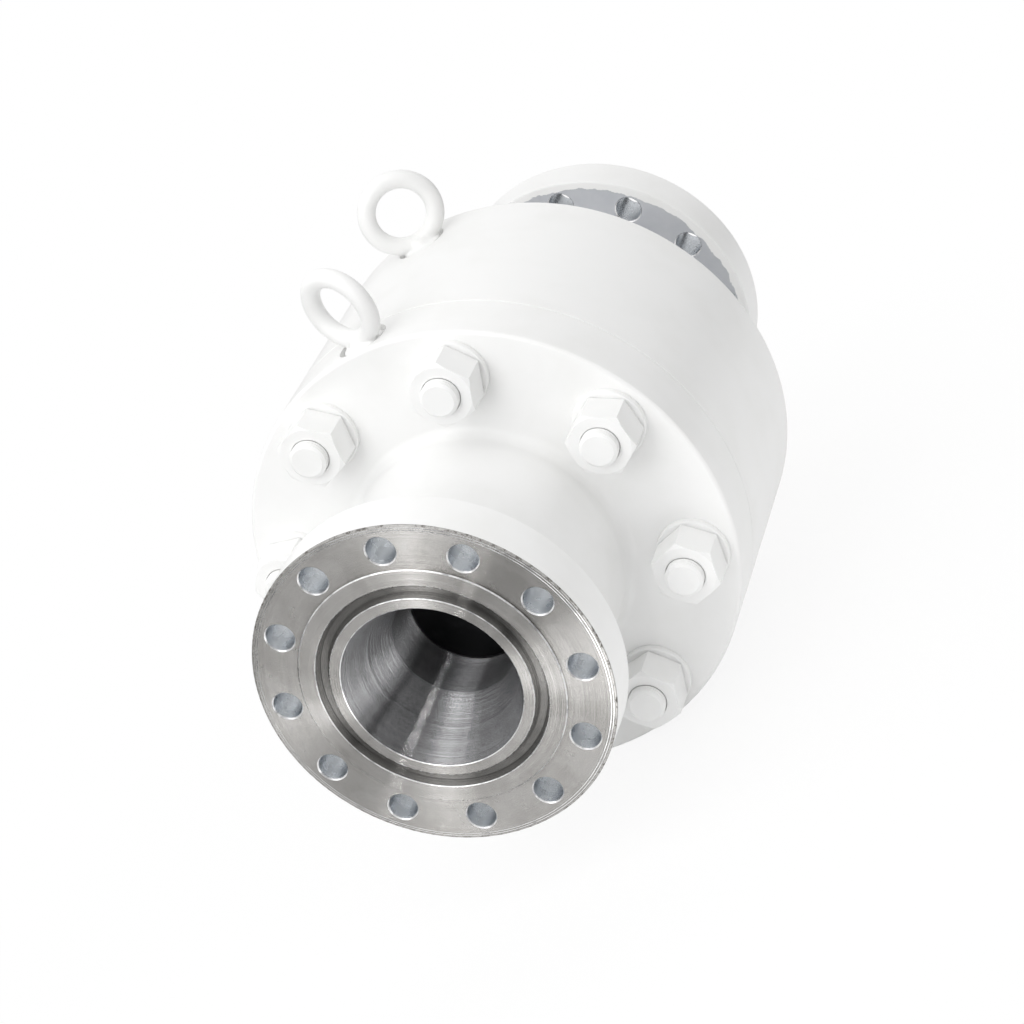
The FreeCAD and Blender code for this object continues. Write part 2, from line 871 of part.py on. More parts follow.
def round_ring_piece(label, place, middle_radius, section_radius):
    """A seal ring of round section about the flow axis."""
    body = new_body(label)
    sketch = new_sketch(body, label + "_section", "XZ_Plane")
    draw_circle(sketch, "section", place, middle_radius, section_radius)
    feature = body.newObject("PartDesign::Revolution", label + "_turning")
    feature.Profile = sketch
    feature.ReferenceAxis = (sketch, ["H_Axis"])
    feature.Angle = 360
    return body


def make_body_gasket():
    inner = gasket_radius()
    front = spigot_end()
    back = front + size("gasket_thickness")
    return ring_piece("body_gasket", front, back, inner, inner + size("gasket_width"))


def make_body_o_ring():
    section = size("body_seal_section") / 2
    floor = spigot_radius() - size("body_seal_section")
    place = seam_place() + size("spigot_length") / 2
    middle = floor + section + size("fit_clearance")
    return round_ring_piece("body_o_ring", place, middle, section)


def make_seat_ring():
    """The hard seat, screwed into the closure from behind, with its cone and insert groove."""
    front = size("seat_front_place")
    flange_front = seat_flange_front()
    back = seat_flange_back()
    bore = half("throat_diameter")
    insert_front = back - size("insert_length")
    insert_radius = bore + size("seat_cone_length") - size("insert_length")
    insert_outer = half("insert_outer_diameter") + size("fit_clearance")
    corners = [
        (front, bore),
        (front, half("seat_body_diameter")),
        (flange_front, half("seat_body_diameter")),
        (flange_front, half("seat_flange_diameter")),
        (back, half("seat_flange_diameter")),
        (back, insert_outer),
        (insert_front, insert_outer),
        (insert_front, insert_radius),
        (seat_cone_start(), bore),
    ]
    body = turned_piece("seat_ring", corners)
    seal = size("seat_seal_section")
    reach = (seal + size("seal_groove_room")) / 2
    place = size("seat_seal_place")
    floor = half("seat_body_diameter") - seal
    outside = half("seat_body_diameter") + size("cut_overrun")
    groove = [
        (place - reach, floor),
        (place + reach, floor),
        (place + reach, outside),
        (place - reach, outside),
    ]
    turn_outline(body, "seat_seal_groove", groove, cut=True)
    turn = half_pitch("seat_screw_count")
    count = size("seat_screw_count")
    circle = half("seat_screw_circle")
    clearance = size("seat_screw_clearance")
    sink_start = back - size("seat_screw_sink")
    shank_radius = half("seat_screw_diameter") + clearance
    head_radius = half("seat_screw_head_diameter") + clearance
    drill_circle(body, "seat_screw_hole", flange_front, size("seat_flange_thickness"),
                 circle, shank_radius, count, turn)
    drill_circle(body, "seat_screw_sink", sink_start, size("seat_screw_sink"),
                 circle, head_radius, count, turn)
    return body


def make_seat_insert():
    """The soft ring in the seat cone that the disc closes on."""
    back = seat_flange_back()
    front = back - size("insert_length")
    back_radius = half("throat_diameter") + size("seat_cone_length")
    outer = half("insert_outer_diameter")
    corners = [
        (front, back_radius - size("insert_length")),
        (front, outer),
        (back, outer),
        (back, back_radius),
    ]
    return turned_piece("seat_insert", corners)


def make_seat_o_ring():
    section = size("seat_seal_section") / 2
    floor = half("seat_body_diameter") - size("seat_seal_section")
    middle = floor + section + size("fit_clearance")
    return round_ring_piece("seat_o_ring", size("seat_seal_place"), middle, section)


def make_seat_ring_screws():
    """Socket-head screws, their heads sunk in the seat flange."""
    body = new_body("seat_ring_screws", True)
    middle = half("seat_screw_circle")
    head_front = seat_flange_back() - size("seat_screw_sink")
    head_back = head_front + size("seat_screw_head_height")
    tip = head_front - size("seat_screw_length")
    shank = half("seat_screw_diameter")
    head = half("seat_screw_head_diameter")
    socket = half("seat_screw_hex")
    socket_floor = head_back - size("seat_screw_head_height") / 2
    chamfer = size("seat_screw_chamfer")
    corners = [
        (tip, middle),
        (tip, middle + shank - chamfer),
        (tip + chamfer, middle + shank),
        (head_front, middle + shank),
        (head_front, middle + head),
        (head_back, middle + head),
        (head_back, middle + socket),
        (socket_floor, middle + socket),
        (socket_floor, middle),
    ]
    turn_beside_axis(body, "seat_screw", corners, middle, "seat_screw_count")
    return body


def make_check_disc():
    """The closing disc: a shallow domed nose, the seating cone and a pinned hub."""
    nose = size("disc_nose_place")
    start_radius = half("disc_cone_start_diameter")
    rim = half("disc_rim_diameter")
    cone_shift = seat_cone_start() + size("disc_gap") * math.sqrt(2) - half("throat_diameter")
    back = size("disc_rim_back_place")
    recess = size("disc_recess_place")
    hub = half("disc_hub_diameter")
    hub_back = size("disc_hub_back_place")
    bore = stem_radius() + size("fit_clearance")
    edge = size("disc_edge_round")
    back_edge = size("disc_back_round")
    lean = size("disc_recess_lean")
    corners = [
        (nose, as_size(0)),
        (nose, start_radius / 2, size("disc_nose_radius")),
        (cone_shift + start_radius, start_radius),
        (cone_shift + rim, rim, edge),
        (back, rim, back_edge),
        (back, half("disc_recess_diameter"), edge),
        (recess, half("disc_recess_diameter") - lean, lean),
        (recess, hub, back_edge),
        (hub_back, hub),
        (hub_back, bore),
        (size("stem_front_place"), bore),
        (size("stem_front_place"), as_size(0)),
    ]
    body = turned_piece("check_disc", corners)
    cut_cross_hole(body, hub + size("cut_overrun"))
    return body


def cut_cross_hole(body, reach):
    """The hole across the stem for the lock pin."""
    radius = half("lock_pin_diameter") + size("fit_clearance")
    round_cut(body, "lock_pin_hole", "XY_Plane", 0 - reach, size("lock_pin_place"), 0,
              radius, reach * 2, True)


def make_disc_stem():
    """The guide stem, pinned in the disc and carried by both bushes."""
    front = size("stem_front_place")
    back = size("stem_back_place")
    radius = stem_radius()
    chamfer = size("stem_chamfer")
    corners = [
        (front, as_size(0)),
        (front, radius - chamfer),
        (front + chamfer, radius),
        (back - chamfer, radius),
        (back, radius - chamfer),
        (back, as_size(0)),
    ]
    body = turned_piece("disc_stem", corners)
    cut_cross_hole(body, radius + size("cut_overrun"))
    return body


def make_lock_pin():
    """The cross pin that holds the disc on its stem."""
    body = new_body("disc_lock_pin")
    radius = half("lock_pin_diameter")
    reach = half("disc_hub_diameter") - size("lock_pin_inset")
    sketch = new_sketch(body, "pin_circle", "XY_Plane", 0 - reach)
    draw_circle(sketch, "pin", size("lock_pin_place"), 0, radius)
    pad = body.newObject("PartDesign::Pad", "pin_length")
    pad.Profile = sketch
    pad.setExpression("Length", (reach * 2).words)
    return body


def make_spring_plate():
    """The washer behind the disc hub that carries and centres the spring."""
    front = size("disc_hub_back_place")
    back = spring_plate_back()
    bore = stem_radius() + size("seat_recess_clearance")
    outer = half("spring_plate_diameter")
    coil_bore = (size("spring_mean_diameter") - size("spring_wire")) / 2
    spigot = coil_bore - size("spring_coil_clearance")
    corners = [
        (front, bore),
        (front, outer),
        (back, outer),
        (back, spigot),
        (back + size("spring_plate_spigot"), spigot),
        (back + size("spring_plate_spigot"), bore),
    ]
    return turned_piece("spring_plate", corners)


def make_spring():
    """The closing spring between the spring plate and the guide pocket floor."""
    body = new_body("closing_spring")
    wire = size("spring_wire") / 2
    gap = size("spring_seat_gap")
    start = spring_plate_back() + gap + wire
    travel = guide_pocket_floor() - gap - wire - start
    sketch = new_sketch(body, "spring_section", "XZ_Plane")
    draw_circle(sketch, "wire", start, half("spring_mean_diameter"), wire)
    helix = body.newObject("PartDesign::AdditiveHelix", "spring_coil")
    helix.Profile = sketch
    helix.ReferenceAxis = (sketch, ["H_Axis"])
    helix.Mode = "height-turns-angle"
    helix.setExpression("Height", travel.words)
    helix.setExpression("Turns", size("spring_turns").words)
    document.recompute()
    if body.Shape.CenterOfMass.x < start.number:
        helix.Reversed = True
    return body


def make_guide_body():
    """The bulb that guides the stem, its ribs and the ring that the body clamps."""
    body = new_body("guide_body")
    front = size("guide_front_place")
    belly = size("guide_belly_place")
    back = shoulder_place()
    ring_front = spigot_end()
    bulb = [
        (front, as_size(0)),
        (front, half("guide_front_diameter"), size("guide_front_round")),
        (belly, half("guide_belly_diameter"), size("guide_belly_round")),
        (back, half("guide_back_diameter")),
        (back, as_size(0)),
    ]
    turn_outline(body, "guide_bulb", bulb)
    add_ribs(body)
    passage = half("passage_diameter")
    ring = [
        (ring_front, passage),
        (ring_front, guide_ring_radius()),
        (back, guide_ring_radius()),
        (back, passage),
    ]
    turn_outline(body, "guide_ring", ring)
    cut_guide_bores(body)
    pin_radius = half("dowel_diameter") + size("fit_clearance")
    round_cut(body, "dowel_hole", "YZ_Plane", back, 0, dowel_circle_radius(),
              pin_radius, size("dowel_depth"), False)
    screw_radius = half("lock_screw_diameter") + size("fit_clearance")
    round_cut(body, "lock_screw_hole", "XY_Plane", 0, lock_screw_place(), 0,
              screw_radius, half("guide_belly_diameter"), True)
    return body


def add_ribs(body):
    """Flow ribs with rounded noses and tapered tails, repeated round the bulb."""
    sketch = new_sketch(body, "rib_section", "XY_Plane", 0, 180 / size("rib_count"), Vector(1, 0, 0))
    front, back = spigot_end() + size("rib_front_gap"), size("rib_back_place")
    thick = size("rib_thickness") / 2
    taper = front + size("rib_body_length")
    tail = size("rib_tail_thickness") / 2
    nose = size("rib_nose_round")
    corners = [
        (front, 0 - thick, nose),
        (taper, 0 - thick),
        (back, 0 - tail),
        (back, tail),
        (taper, thick),
        (front, thick, nose),
    ]
    draw_outline(sketch, corners)
    before = body.Shape.Volume
    pad = body.newObject("PartDesign::Pad", "rib")
    pad.Profile = sketch
    pad.setExpression("Length", (half("passage_diameter") + size("rib_root")).words)
    check_change(body, before, True, "rib")
    pattern = body.newObject("PartDesign::PolarPattern", "rib_circle")
    pattern.Originals = [pad]
    pattern.Axis = (sketch, ["H_Axis"])
    pattern.Angle = 360
    pattern.setExpression("Occurrences", size("rib_count").words)
    body.Tip = pattern
    document.recompute()


def lock_screw_place():
    """The lock screw meets the middle of the tail joint."""
    return shoulder_place() - size("tail_joint_length") / 2


def rear_bush_back():
    return size("rear_bush_place") + size("bush_length")


def cut_guide_bores(body):
    """The spring pocket, both bush seats, the ring groove, the tail joint and the stop groove."""
    front = size("guide_front_place")
    overrun = size("cut_overrun")
    pocket = guide_pocket_floor()
    back = shoulder_place()
    bush = half("bush_outer_diameter") + size("fit_clearance")
    relief = half("guide_relief_diameter")
    ring_front = rear_bush_back()
    ring_back = ring_front + size("retaining_ring_thickness") + size("fit_clearance") * 2
    ring_radius = half("retaining_ring_outer_diameter") + size("fit_clearance")
    joint = half("tail_joint_diameter") + size("tail_joint_clearance")
    joint_front = back - size("tail_joint_length")
    bores = [
        (front - overrun, as_size(0)),
        (front - overrun, half("guide_pocket_diameter")),
        (pocket, half("guide_pocket_diameter")),
        (pocket, bush),
        (pocket + size("bush_length"), bush),
        (pocket + size("bush_length"), relief),
        (size("rear_bush_place"), relief),
        (size("rear_bush_place"), bush),
        (ring_front, bush),
        (ring_front, ring_radius),
        (ring_back, ring_radius),
        (ring_back, bush),
        (joint_front, bush),
        (joint_front, joint),
        (back + overrun, joint),
        (back + overrun, as_size(0)),
    ]
    turn_outline(body, "guide_bores", bores, cut=True)
    middle = half("stop_ring_diameter")
    reach = size("stop_ring_width") / 2 + size("fit_clearance")
    groove = [
        (front - overrun, middle - reach),
        (front + size("stop_ring_sink"), middle - reach),
        (front + size("stop_ring_sink"), middle + reach),
        (front - overrun, middle + reach),
    ]
    turn_outline(body, "stop_ring_groove", groove, cut=True)


def make_stop_ring():
    """The soft ring that the open disc comes to rest against."""
    middle = half("stop_ring_diameter")
    reach = size("stop_ring_width") / 2
    back = size("guide_front_place") + size("stop_ring_sink")
    front = size("disc_rim_back_place") + size("disc_stroke") + size("stop_ring_gap")
    edge = size("stop_ring_round")
    corners = [
        (front, middle - reach, edge),
        (front, middle + reach, edge),
        (back, middle + reach),
        (back, middle - reach),
    ]
    return turned_piece("stop_ring", corners)


def make_bush(label, front):
    """A plain guide bush with a running fit on the stem."""
    bore = stem_radius() + size("bush_running_clearance")
    back = front + size("bush_length")
    return ring_piece(label, front, back, bore, half("bush_outer_diameter"))


def make_bush_retaining_ring():
    """The open ring that keeps the rear bush in its seat."""
    front = rear_bush_back() + size("fit_clearance")
    back = front + size("retaining_ring_thickness")
    inner = half("retaining_ring_inner_diameter")
    outer = half("retaining_ring_outer_diameter")
    body = ring_piece("bush_retaining_ring", front, back, inner, outer)
    before = volume_of(body)
    sketch = new_sketch(body, "ring_gap_outline", "YZ_Plane", front)
    side = size("retaining_ring_gap") / 2
    low, high = inner - size("cut_overrun"), outer + size("cut_overrun")
    corners = [(0 - side, low), (side, low), (side, high), (0 - side, high)]
    draw_outline(sketch, corners)
    pocket = body.newObject("PartDesign::Pocket", "ring_gap")
    pocket.Profile = sketch
    pocket.Reversed = True
    pocket.setExpression("Length", size("retaining_ring_thickness").words)
    check_change(body, before, False, "ring_gap")
    return body


def make_tail_cone():
    """The streamlined tail, screwed into the guide body and hollow for the stem."""
    joint_back = shoulder_place()
    joint_front = joint_back - size("tail_joint_length")
    tip = joint_back + size("tail_length")
    bore_end = size("stem_back_place") + size("disc_stroke") + size("tail_bore_room")
    joint = half("tail_joint_diameter")
    bore = half("tail_bore_diameter")
    base = half("guide_back_diameter")
    front_bend = joint_back + size("tail_length") / 3
    rear_bend = joint_back + size("tail_length") * size("tail_rear_bend_share")
    corners = [
        (joint_front, bore),
        (joint_front, joint),
        (joint_back, joint),
        (joint_back, base),
        (front_bend, base * size("tail_front_share"), size("tail_front_round")),
        (rear_bend, base * size("tail_rear_share"), size("tail_rear_round")),
        (tip, half("tail_tip_diameter"), size("tail_tip_round")),
        (tip, as_size(0)),
        (bore_end, as_size(0)),
        (bore_end, bore, size("tail_bore_round")),
    ]
    body = turned_piece("tail_cone", corners)
    radius = half("lock_screw_diameter") + size("fit_clearance")
    depth = joint - lock_screw_foot() + size("cut_overrun")
    round_cut(body, "lock_screw_hole", "XY_Plane", lock_screw_foot(), lock_screw_place(), 0,
              radius, depth, True)
    return body


def lock_screw_foot():
    """How far from the flow axis the lock screw ends."""
    return half("tail_joint_diameter") - size("lock_screw_grip")


def make_lock_screw():
    """The set screw that locks the tail joint."""
    body = new_body("tail_cone_lock_screw")
    foot = lock_screw_foot()
    sketch = new_sketch(body, "screw_circle", "XY_Plane", foot)
    draw_circle(sketch, "screw", lock_screw_place(), 0, half("lock_screw_diameter"))
    pad = body.newObject("PartDesign::Pad", "screw_length")
    pad.Profile = sketch
    pad.setExpression("Length", size("lock_screw_length").words)
    document.recompute()
    top = foot + size("lock_screw_length")
    round_cut(body, "screw_socket", "XY_Plane", top, lock_screw_place(), 0,
              half("lock_screw_socket"), size("lock_screw_socket"), False)
    return body


def make_dowel():
    """The dowel that stops the guide ring from turning in the body."""
    body = new_body("guide_body_dowel")
    front = shoulder_place() - size("dowel_depth")
    sketch = new_sketch(body, "dowel_circle", "YZ_Plane", front)
    draw_circle(sketch, "dowel", 0, dowel_circle_radius(), half("dowel_diameter"))
    pad = body.newObject("PartDesign::Pad", "dowel_length")
    pad.Profile = sketch
    pad.setExpression("Length", size("dowel_length").words)
    return body


def make_pieces():
    """Every sub-part of the valve, from the inlet to the outlet."""
    return [
        make_inlet_closure(),
        make_main_body(),
        make_studs(),
        make_nuts(),
        make_washers(),
        make_lifting_eye("lifting_eye_front", "eye_front_place", "eye_front_turn"),
        make_lifting_eye("lifting_eye_rear", "eye_rear_place", "eye_rear_turn"),
        make_body_gasket(),
        make_body_o_ring(),
        make_seat_ring(),
        make_seat_insert(),
        make_seat_o_ring(),
        make_seat_ring_screws(),
        make_check_disc(),
        make_disc_stem(),
        make_lock_pin(),
        make_spring_plate(),
        make_spring(),
        make_guide_body(),
        make_stop_ring(),
        make_bush("front_guide_bush", guide_pocket_floor()),
        make_bush("rear_guide_bush", size("rear_bush_place")),
        make_bush_retaining_ring(),
        make_tail_cone(),
        make_lock_screw(),
        make_dowel(),
    ]


def check_document(pieces):
    """Stop if anything failed to recompute or a piece has no valid shape."""
    document.recompute()
    for item in document.Objects:
        if "Invalid" in item.State or "Error" in item.State:
            raise ValueError(item.Name + " failed: " + str(item.State))
    for piece in pieces:
        if piece.Shape.isNull() or not piece.Shape.isValid():
            raise ValueError(piece.Label + " has no valid shape")


def write_pieces(pieces):
    """Write each piece to a file named after its label."""
    os.makedirs("parts", exist_ok=True)
    for piece in pieces:
        piece.Shape.exportStep(os.path.join("parts", piece.Label + ".step"))


fill_sheet()
valve_pieces = make_pieces()
check_document(valve_pieces)
write_pieces(valve_pieces)
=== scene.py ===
import math

import bmesh
import bpy
from bpy.props import FloatProperty, FloatVectorProperty, IntProperty, PointerProperty
from mathutils import Matrix, Vector


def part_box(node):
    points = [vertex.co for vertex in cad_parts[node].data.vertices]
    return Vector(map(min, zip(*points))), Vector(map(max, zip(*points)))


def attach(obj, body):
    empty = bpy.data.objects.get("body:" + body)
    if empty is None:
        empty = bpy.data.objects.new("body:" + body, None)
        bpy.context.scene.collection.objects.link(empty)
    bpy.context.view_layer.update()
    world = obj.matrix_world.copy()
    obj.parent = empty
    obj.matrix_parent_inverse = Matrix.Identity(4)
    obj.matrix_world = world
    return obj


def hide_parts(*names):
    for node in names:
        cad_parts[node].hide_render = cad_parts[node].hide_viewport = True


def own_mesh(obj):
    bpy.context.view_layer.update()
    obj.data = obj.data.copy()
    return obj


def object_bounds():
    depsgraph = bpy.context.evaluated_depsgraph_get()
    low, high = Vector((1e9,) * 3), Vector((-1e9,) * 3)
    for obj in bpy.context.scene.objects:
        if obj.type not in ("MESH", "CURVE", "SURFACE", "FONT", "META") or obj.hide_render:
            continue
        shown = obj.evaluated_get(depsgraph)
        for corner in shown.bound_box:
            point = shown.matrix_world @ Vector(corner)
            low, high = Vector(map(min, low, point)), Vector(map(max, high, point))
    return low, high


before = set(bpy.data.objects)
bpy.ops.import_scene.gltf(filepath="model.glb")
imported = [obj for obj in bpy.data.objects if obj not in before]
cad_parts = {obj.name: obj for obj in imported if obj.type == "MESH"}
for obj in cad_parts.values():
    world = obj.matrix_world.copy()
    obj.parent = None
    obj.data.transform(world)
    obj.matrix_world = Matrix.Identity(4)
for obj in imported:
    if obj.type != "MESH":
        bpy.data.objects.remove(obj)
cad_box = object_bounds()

# An axial non-return valve: a two-piece bolted body with ring-joint end flanges.
# The flow runs along +X, +Z is up through the lifting eyes, and the origin is the
# centre of the inlet raised face. Lengths are in metres.

bl_info = {
    "name": "Non-return Valve",
    "version": (1, 0, 0),
    "blender": (4, 5, 0),
    "location": "3D View > Sidebar > Valve",
    "description": "Builds the painted valve body, its fasteners and its working parts",
    "category": "Add Mesh",
}

FLOW_AXIS = Matrix.Identity(4)
UP_TO_FLOW = Matrix(((0, 0, 1, 0), (1, 0, 0, 0), (0, 1, 0, 0), (0, 0, 0, 1)))
FLOW_TO_UP = Matrix.Rotation(math.radians(-90), 4, "Y")
LARGE_STEPS = 144
MIDDLE_STEPS = 72
SMALL_STEPS = 40
SECTION_STEPS = 24
WIRE_STEPS = 16
ARC_STEP = math.radians(11)
VOXEL_SIZE = 0.0012
SMOOTH_PASSES = 9
MERGE_DISTANCE = 1e-6
SHARP_ANGLE = math.radians(32)
NUT_CORNER = math.radians(30)
NUT_EDGE = math.radians(24)
OVERRUN = 0.002
FLOOR_GAP = 0.0003
FADE_REACH = 2.5

# The chipped edge, in edge roundings: how far along the flow and how far in from the rim.
CHIPPED_EDGE = ((0.0, 1.0), (0.2, 0.3), (0.7, 0.0))

# The tail's curve: shares of its length and of its base radius, and a rounding in metres.
TAIL_CURVE = ((1 / 3, 0.93, 0.25), (0.8, 0.45, 0.12))

# Where each lamp hangs, its width and height, and what it faces if that isn't the valve.
LAMPS = {
    "top_lamp": ((-0.9, 0.1, 2.1), (1.8, 1.8), None),
    "front_lamp": ((-2.7, 0.32, 1.2), (1.3, 1.8), None),
    "window_lamp": ((-2.15, 0.06, 1.75), (0.5, 1.0), None),
    "strip_lamp": ((-2.66, -0.88, 0.88), (0.05, 0.4), None),
    "sky_lamp": ((-1.3, 1.03, 1.27), (1.2, 1.2), None),
    "paper_lamp": ((-0.47, -0.05, -0.285), (0.45, 0.45), (-0.46, -0.05, 2.0)),
    "low_lamp": ((-2.3, 0.8, 0.0), (0.9, 0.5), None),
}

body_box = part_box("main_body")
closure_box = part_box("inlet_closure")
stud_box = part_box("closure_studs")
spring_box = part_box("closing_spring")


def length_value(name, description, default):
    """A length that the sidebar shows in the scene's units."""
    return FloatProperty(name=name, description=description, default=default, min=0.0,
                         unit="LENGTH", precision=4)


def angle_value(name, description, degrees):
    """An angle that is kept in radians and shown in degrees."""
    return FloatProperty(name=name, description=description, default=math.radians(degrees),
                         unit="ROTATION")


def place_value(name, description, default):
    """A point of the scene."""
    return FloatVectorProperty(name=name, description=description, default=default, size=3,
                               unit="LENGTH", subtype="TRANSLATION")


def power_value(name, description, default):
    """The power of a lamp in watts."""
    return FloatProperty(name=name, description=description, default=default, min=0.0,
                         unit="POWER")


def share_value(name, description, default):
    """A share from nothing to all."""
    return FloatProperty(name=name, description=description, default=default, min=0.0,
                         max=1.0, subtype="FACTOR")


def colour_value(name, description, default):
    """A linear colour with a swatch in the sidebar."""
    return FloatVectorProperty(name=name, description=description, default=default,
                               min=0.0, max=1.0, size=3, subtype="COLOR")


class FlangeSizes(bpy.types.PropertyGroup):
    """The end flanges and their ring-joint faces."""

    diameter: length_value("Flange Diameter", "Outside diameter of both end flanges", 0.405)
    thickness: length_value("Thickness", "Thickness behind the raised face", 0.060)
    edge_round: length_value("Edge Rounding", "Rounding of the flange rim", 0.002)
    raised_diameter: length_value("Raised Face", "Diameter of the raised face", 0.299)
    raised_height: length_value("Raised Height", "Height of the raised face", 0.003)
    bolt_circle: length_value("Bolt Circle", "Circle through the bolt holes", 0.345)
    bolt_hole: length_value("Bolt Hole", "Diameter of a bolt hole", 0.033)
    bolt_chamfer: length_value("Hole Chamfer", "Chamfer at the mouth of a bolt hole", 0.0014)
    edge_chamfer: length_value("Edge Chamfer", "Burnished chamfer of the machined edges", 0.0007)
    raised_chamfer: length_value("Raised Chamfer", "Chamfer round the raised face", 0.0013)
    step_inset: length_value("Turned Steps", "First fine step in from the flange's rim", 0.0042)
    step_depth: length_value("Step Depth", "Depth of a fine step", 0.0003)
    step_pitch: length_value("Step Pitch", "Distance between the fine steps", 0.0027)
    step_width: length_value("Step Width", "Width of a step's burnished slope", 0.0008)
    bolt_count: IntProperty(name="Bolt Holes", description="Holes in each flange",
                            default=12, min=3)
    groove_diameter: length_value("Groove Diameter", "Middle of the ring groove", 0.2435)
    groove_width: length_value("Groove Width", "Ring groove width at the face", 0.0156)
    groove_depth: length_value("Groove Depth", "Depth of the ring groove", 0.0095)
    groove_angle: angle_value("Groove Angle", "Lean of the ring groove's walls", 23)
    groove_corner: length_value("Groove Corner", "Rounding of the groove's floor", 0.0008)
    mouth: length_value("Mouth", "Bore diameter at the flange faces", 0.203)
    mouth_lip: length_value("Mouth Lip", "Depth of the lip in the mouth", 0.004)
    mouth_drop: length_value("Lip Height", "How far the lip narrows the mouth", 0.0012)
    mouth_draft: length_value("Mouth Draft", "How far the lip closes at its edge", 0.00021)
    paint_lap: length_value("Paint Lap", "Width of the rim's paint on the flange's back", 0.003)


class BodySizes(bpy.types.PropertyGroup):
    """The bolted body, from the inlet neck to the outlet neck."""

    neck_diameter: length_value("Neck Diameter", "Neck next to each end flange", 0.280)
    neck_length: length_value("Neck Length", "Straight neck behind a flange", 0.040)
    neck_fillet: length_value("Neck Fillet", "Fillet between neck and flange", 0.010)
    neck_blend: length_value("Neck Blend", "Rounding at both ends of the neck's cone", 0.05)
    hub_diameter: length_value("Hub Diameter", "Hub against the drum", 0.320)
    hub_land: length_value("Hub Land", "Straight hub next to the drum", 0.024)
    hub_fillet: length_value("Hub Fillet", "Fillet between hub and drum", 0.014)
    closure_face: length_value("Closure Face", "Place of the face under the nuts", 0.268)
    seam: length_value("Seam", "Place where the two body pieces meet", body_box[0][0])
    drum_back: length_value("Drum Back", "Place of the drum's rear face", 0.606)
    drum_diameter: length_value("Drum Diameter", "Outside diameter of the drum",
                                2 * body_box[1][2])
    drum_round: length_value("Drum Rounding", "Rounding of the drum's outer edges", 0.005)
    seam_chamfer: length_value("Seam Chamfer", "Chamfer on both sides of the seam", 0.0015)
    throat: length_value("Throat", "Bore diameter in front of the seat", 0.140)
    cone_length: length_value("Inlet Cone", "Length of the converging inlet", 0.095)
    cone_edge: length_value("Cone Edge", "Length of the edge where cone meets throat", 0.004)
    cone_step: length_value("Cone Step", "Height of that edge", 0.0006)
    cone_round: length_value("Cone Rounding", "Rounding of the outlet's closing cone", 0.060)
    spigot_radius: length_value("Spigot", "Radius of the locating spigot", 0.190)
    spigot_end: length_value("Spigot End", "Place where the spigot ends", closure_box[1][0])
    spigot_gap: length_value("Spigot Gap", "Room round the spigot", 0.0004)
    gasket_room: length_value("Gasket Room", "Room for the gasket behind the spigot", 0.002)
    seat_cavity: length_value("Seat Cavity", "Radius of the room behind the seat", 0.106)
    passage_radius: length_value("Passage", "Radius of the inner passage", 0.150)
    passage_end: length_value("Passage End", "Place where the passage starts to close", 0.520)
    outlet_bore: length_value("Outlet Bore", "Length of the straight outlet bore", 0.216)
    outlet_lip: length_value("Outlet Lip", "Length of the outlet's narrower lip", 0.020)
    lip_ease: length_value("Lip Ease", "Length over which the lip widens again", 0.010)
    guide_bore: length_value("Guide Bore", "Radius that holds the guide ring", 0.1723)
    guide_shoulder: length_value("Guide Shoulder", "Place of the guide ring shoulder", 0.470)
    overall_length: length_value("Overall Length", "Length over both raised faces",
                                 body_box[1][0])


class FastenerSizes(bpy.types.PropertyGroup):
    """The studs, nuts and washers of the closure."""

    count: IntProperty(name="Studs", description="Studs round the closure", default=8, min=3)
    circle: length_value("Stud Circle", "Circle through the studs", 0.476)
    stud_diameter: length_value("Stud Diameter", "Diameter over the thread", 0.044)
    stud_front: length_value("Stud Front", "Place of the studs' outer ends", stud_box[0][0])
    stud_back: length_value("Stud Back", "Place of the studs' inner ends", stud_box[1][0])
    stud_chamfer: length_value("Stud Chamfer", "Chamfer on the stud's end", 0.004)
    thread_start: length_value("Thread Start", "From the stud's end to the first crest", 0.003)
    thread_pitch: length_value("Thread Pitch", "Distance from crest to crest", 0.0045)
    thread_depth: length_value("Thread Depth", "Depth of the painted thread", 0.0011)
    thread_round: length_value("Thread Rounding", "Rounding of crests and roots", 0.0009)
    end_round: length_value("End Rounding", "Rounding of the small edges", 0.0006)
    nut_gap: length_value("Nut Gap", "Room between nut and thread", 0.0003)
    bearing_height: length_value("Bearing Height", "Height of the nut's round bearing face", 0.0013)
    bearing_inset: length_value("Bearing Inset", "How far that face lies in from the flats", 0.001)
    nut_chamfer: length_value("Nut Chamfer", "Chamfer at the nut's thread", 0.0009)
    washer_gap: length_value("Washer Gap", "Room between washer and stud", 0.001)
    nut_flats: length_value("Nut Width", "Width across the nut's flats", 0.070)
    nut_height: length_value("Nut Height", "Height of a nut", 0.045)
    nut_softness: length_value("Nut Softness", "How far paint rounds the nut's edges", 0.0008)
    washer_diameter: length_value("Washer Diameter", "Outside of a washer", 0.084)
    washer_thickness: length_value("Washer Thickness", "Thickness of a washer", 0.008)
    washer_round: length_value("Washer Rounding", "Rounding of a washer's rim", 0.002)
    nut_turns: FloatVectorProperty(
        name="Nut Turns", description="How far each nut was turned by the wrench", size=8,
        unit="ROTATION",
        default=tuple(math.radians(turn) for turn in (10, 41, 5, 33, 20, 13, 58, 24)))


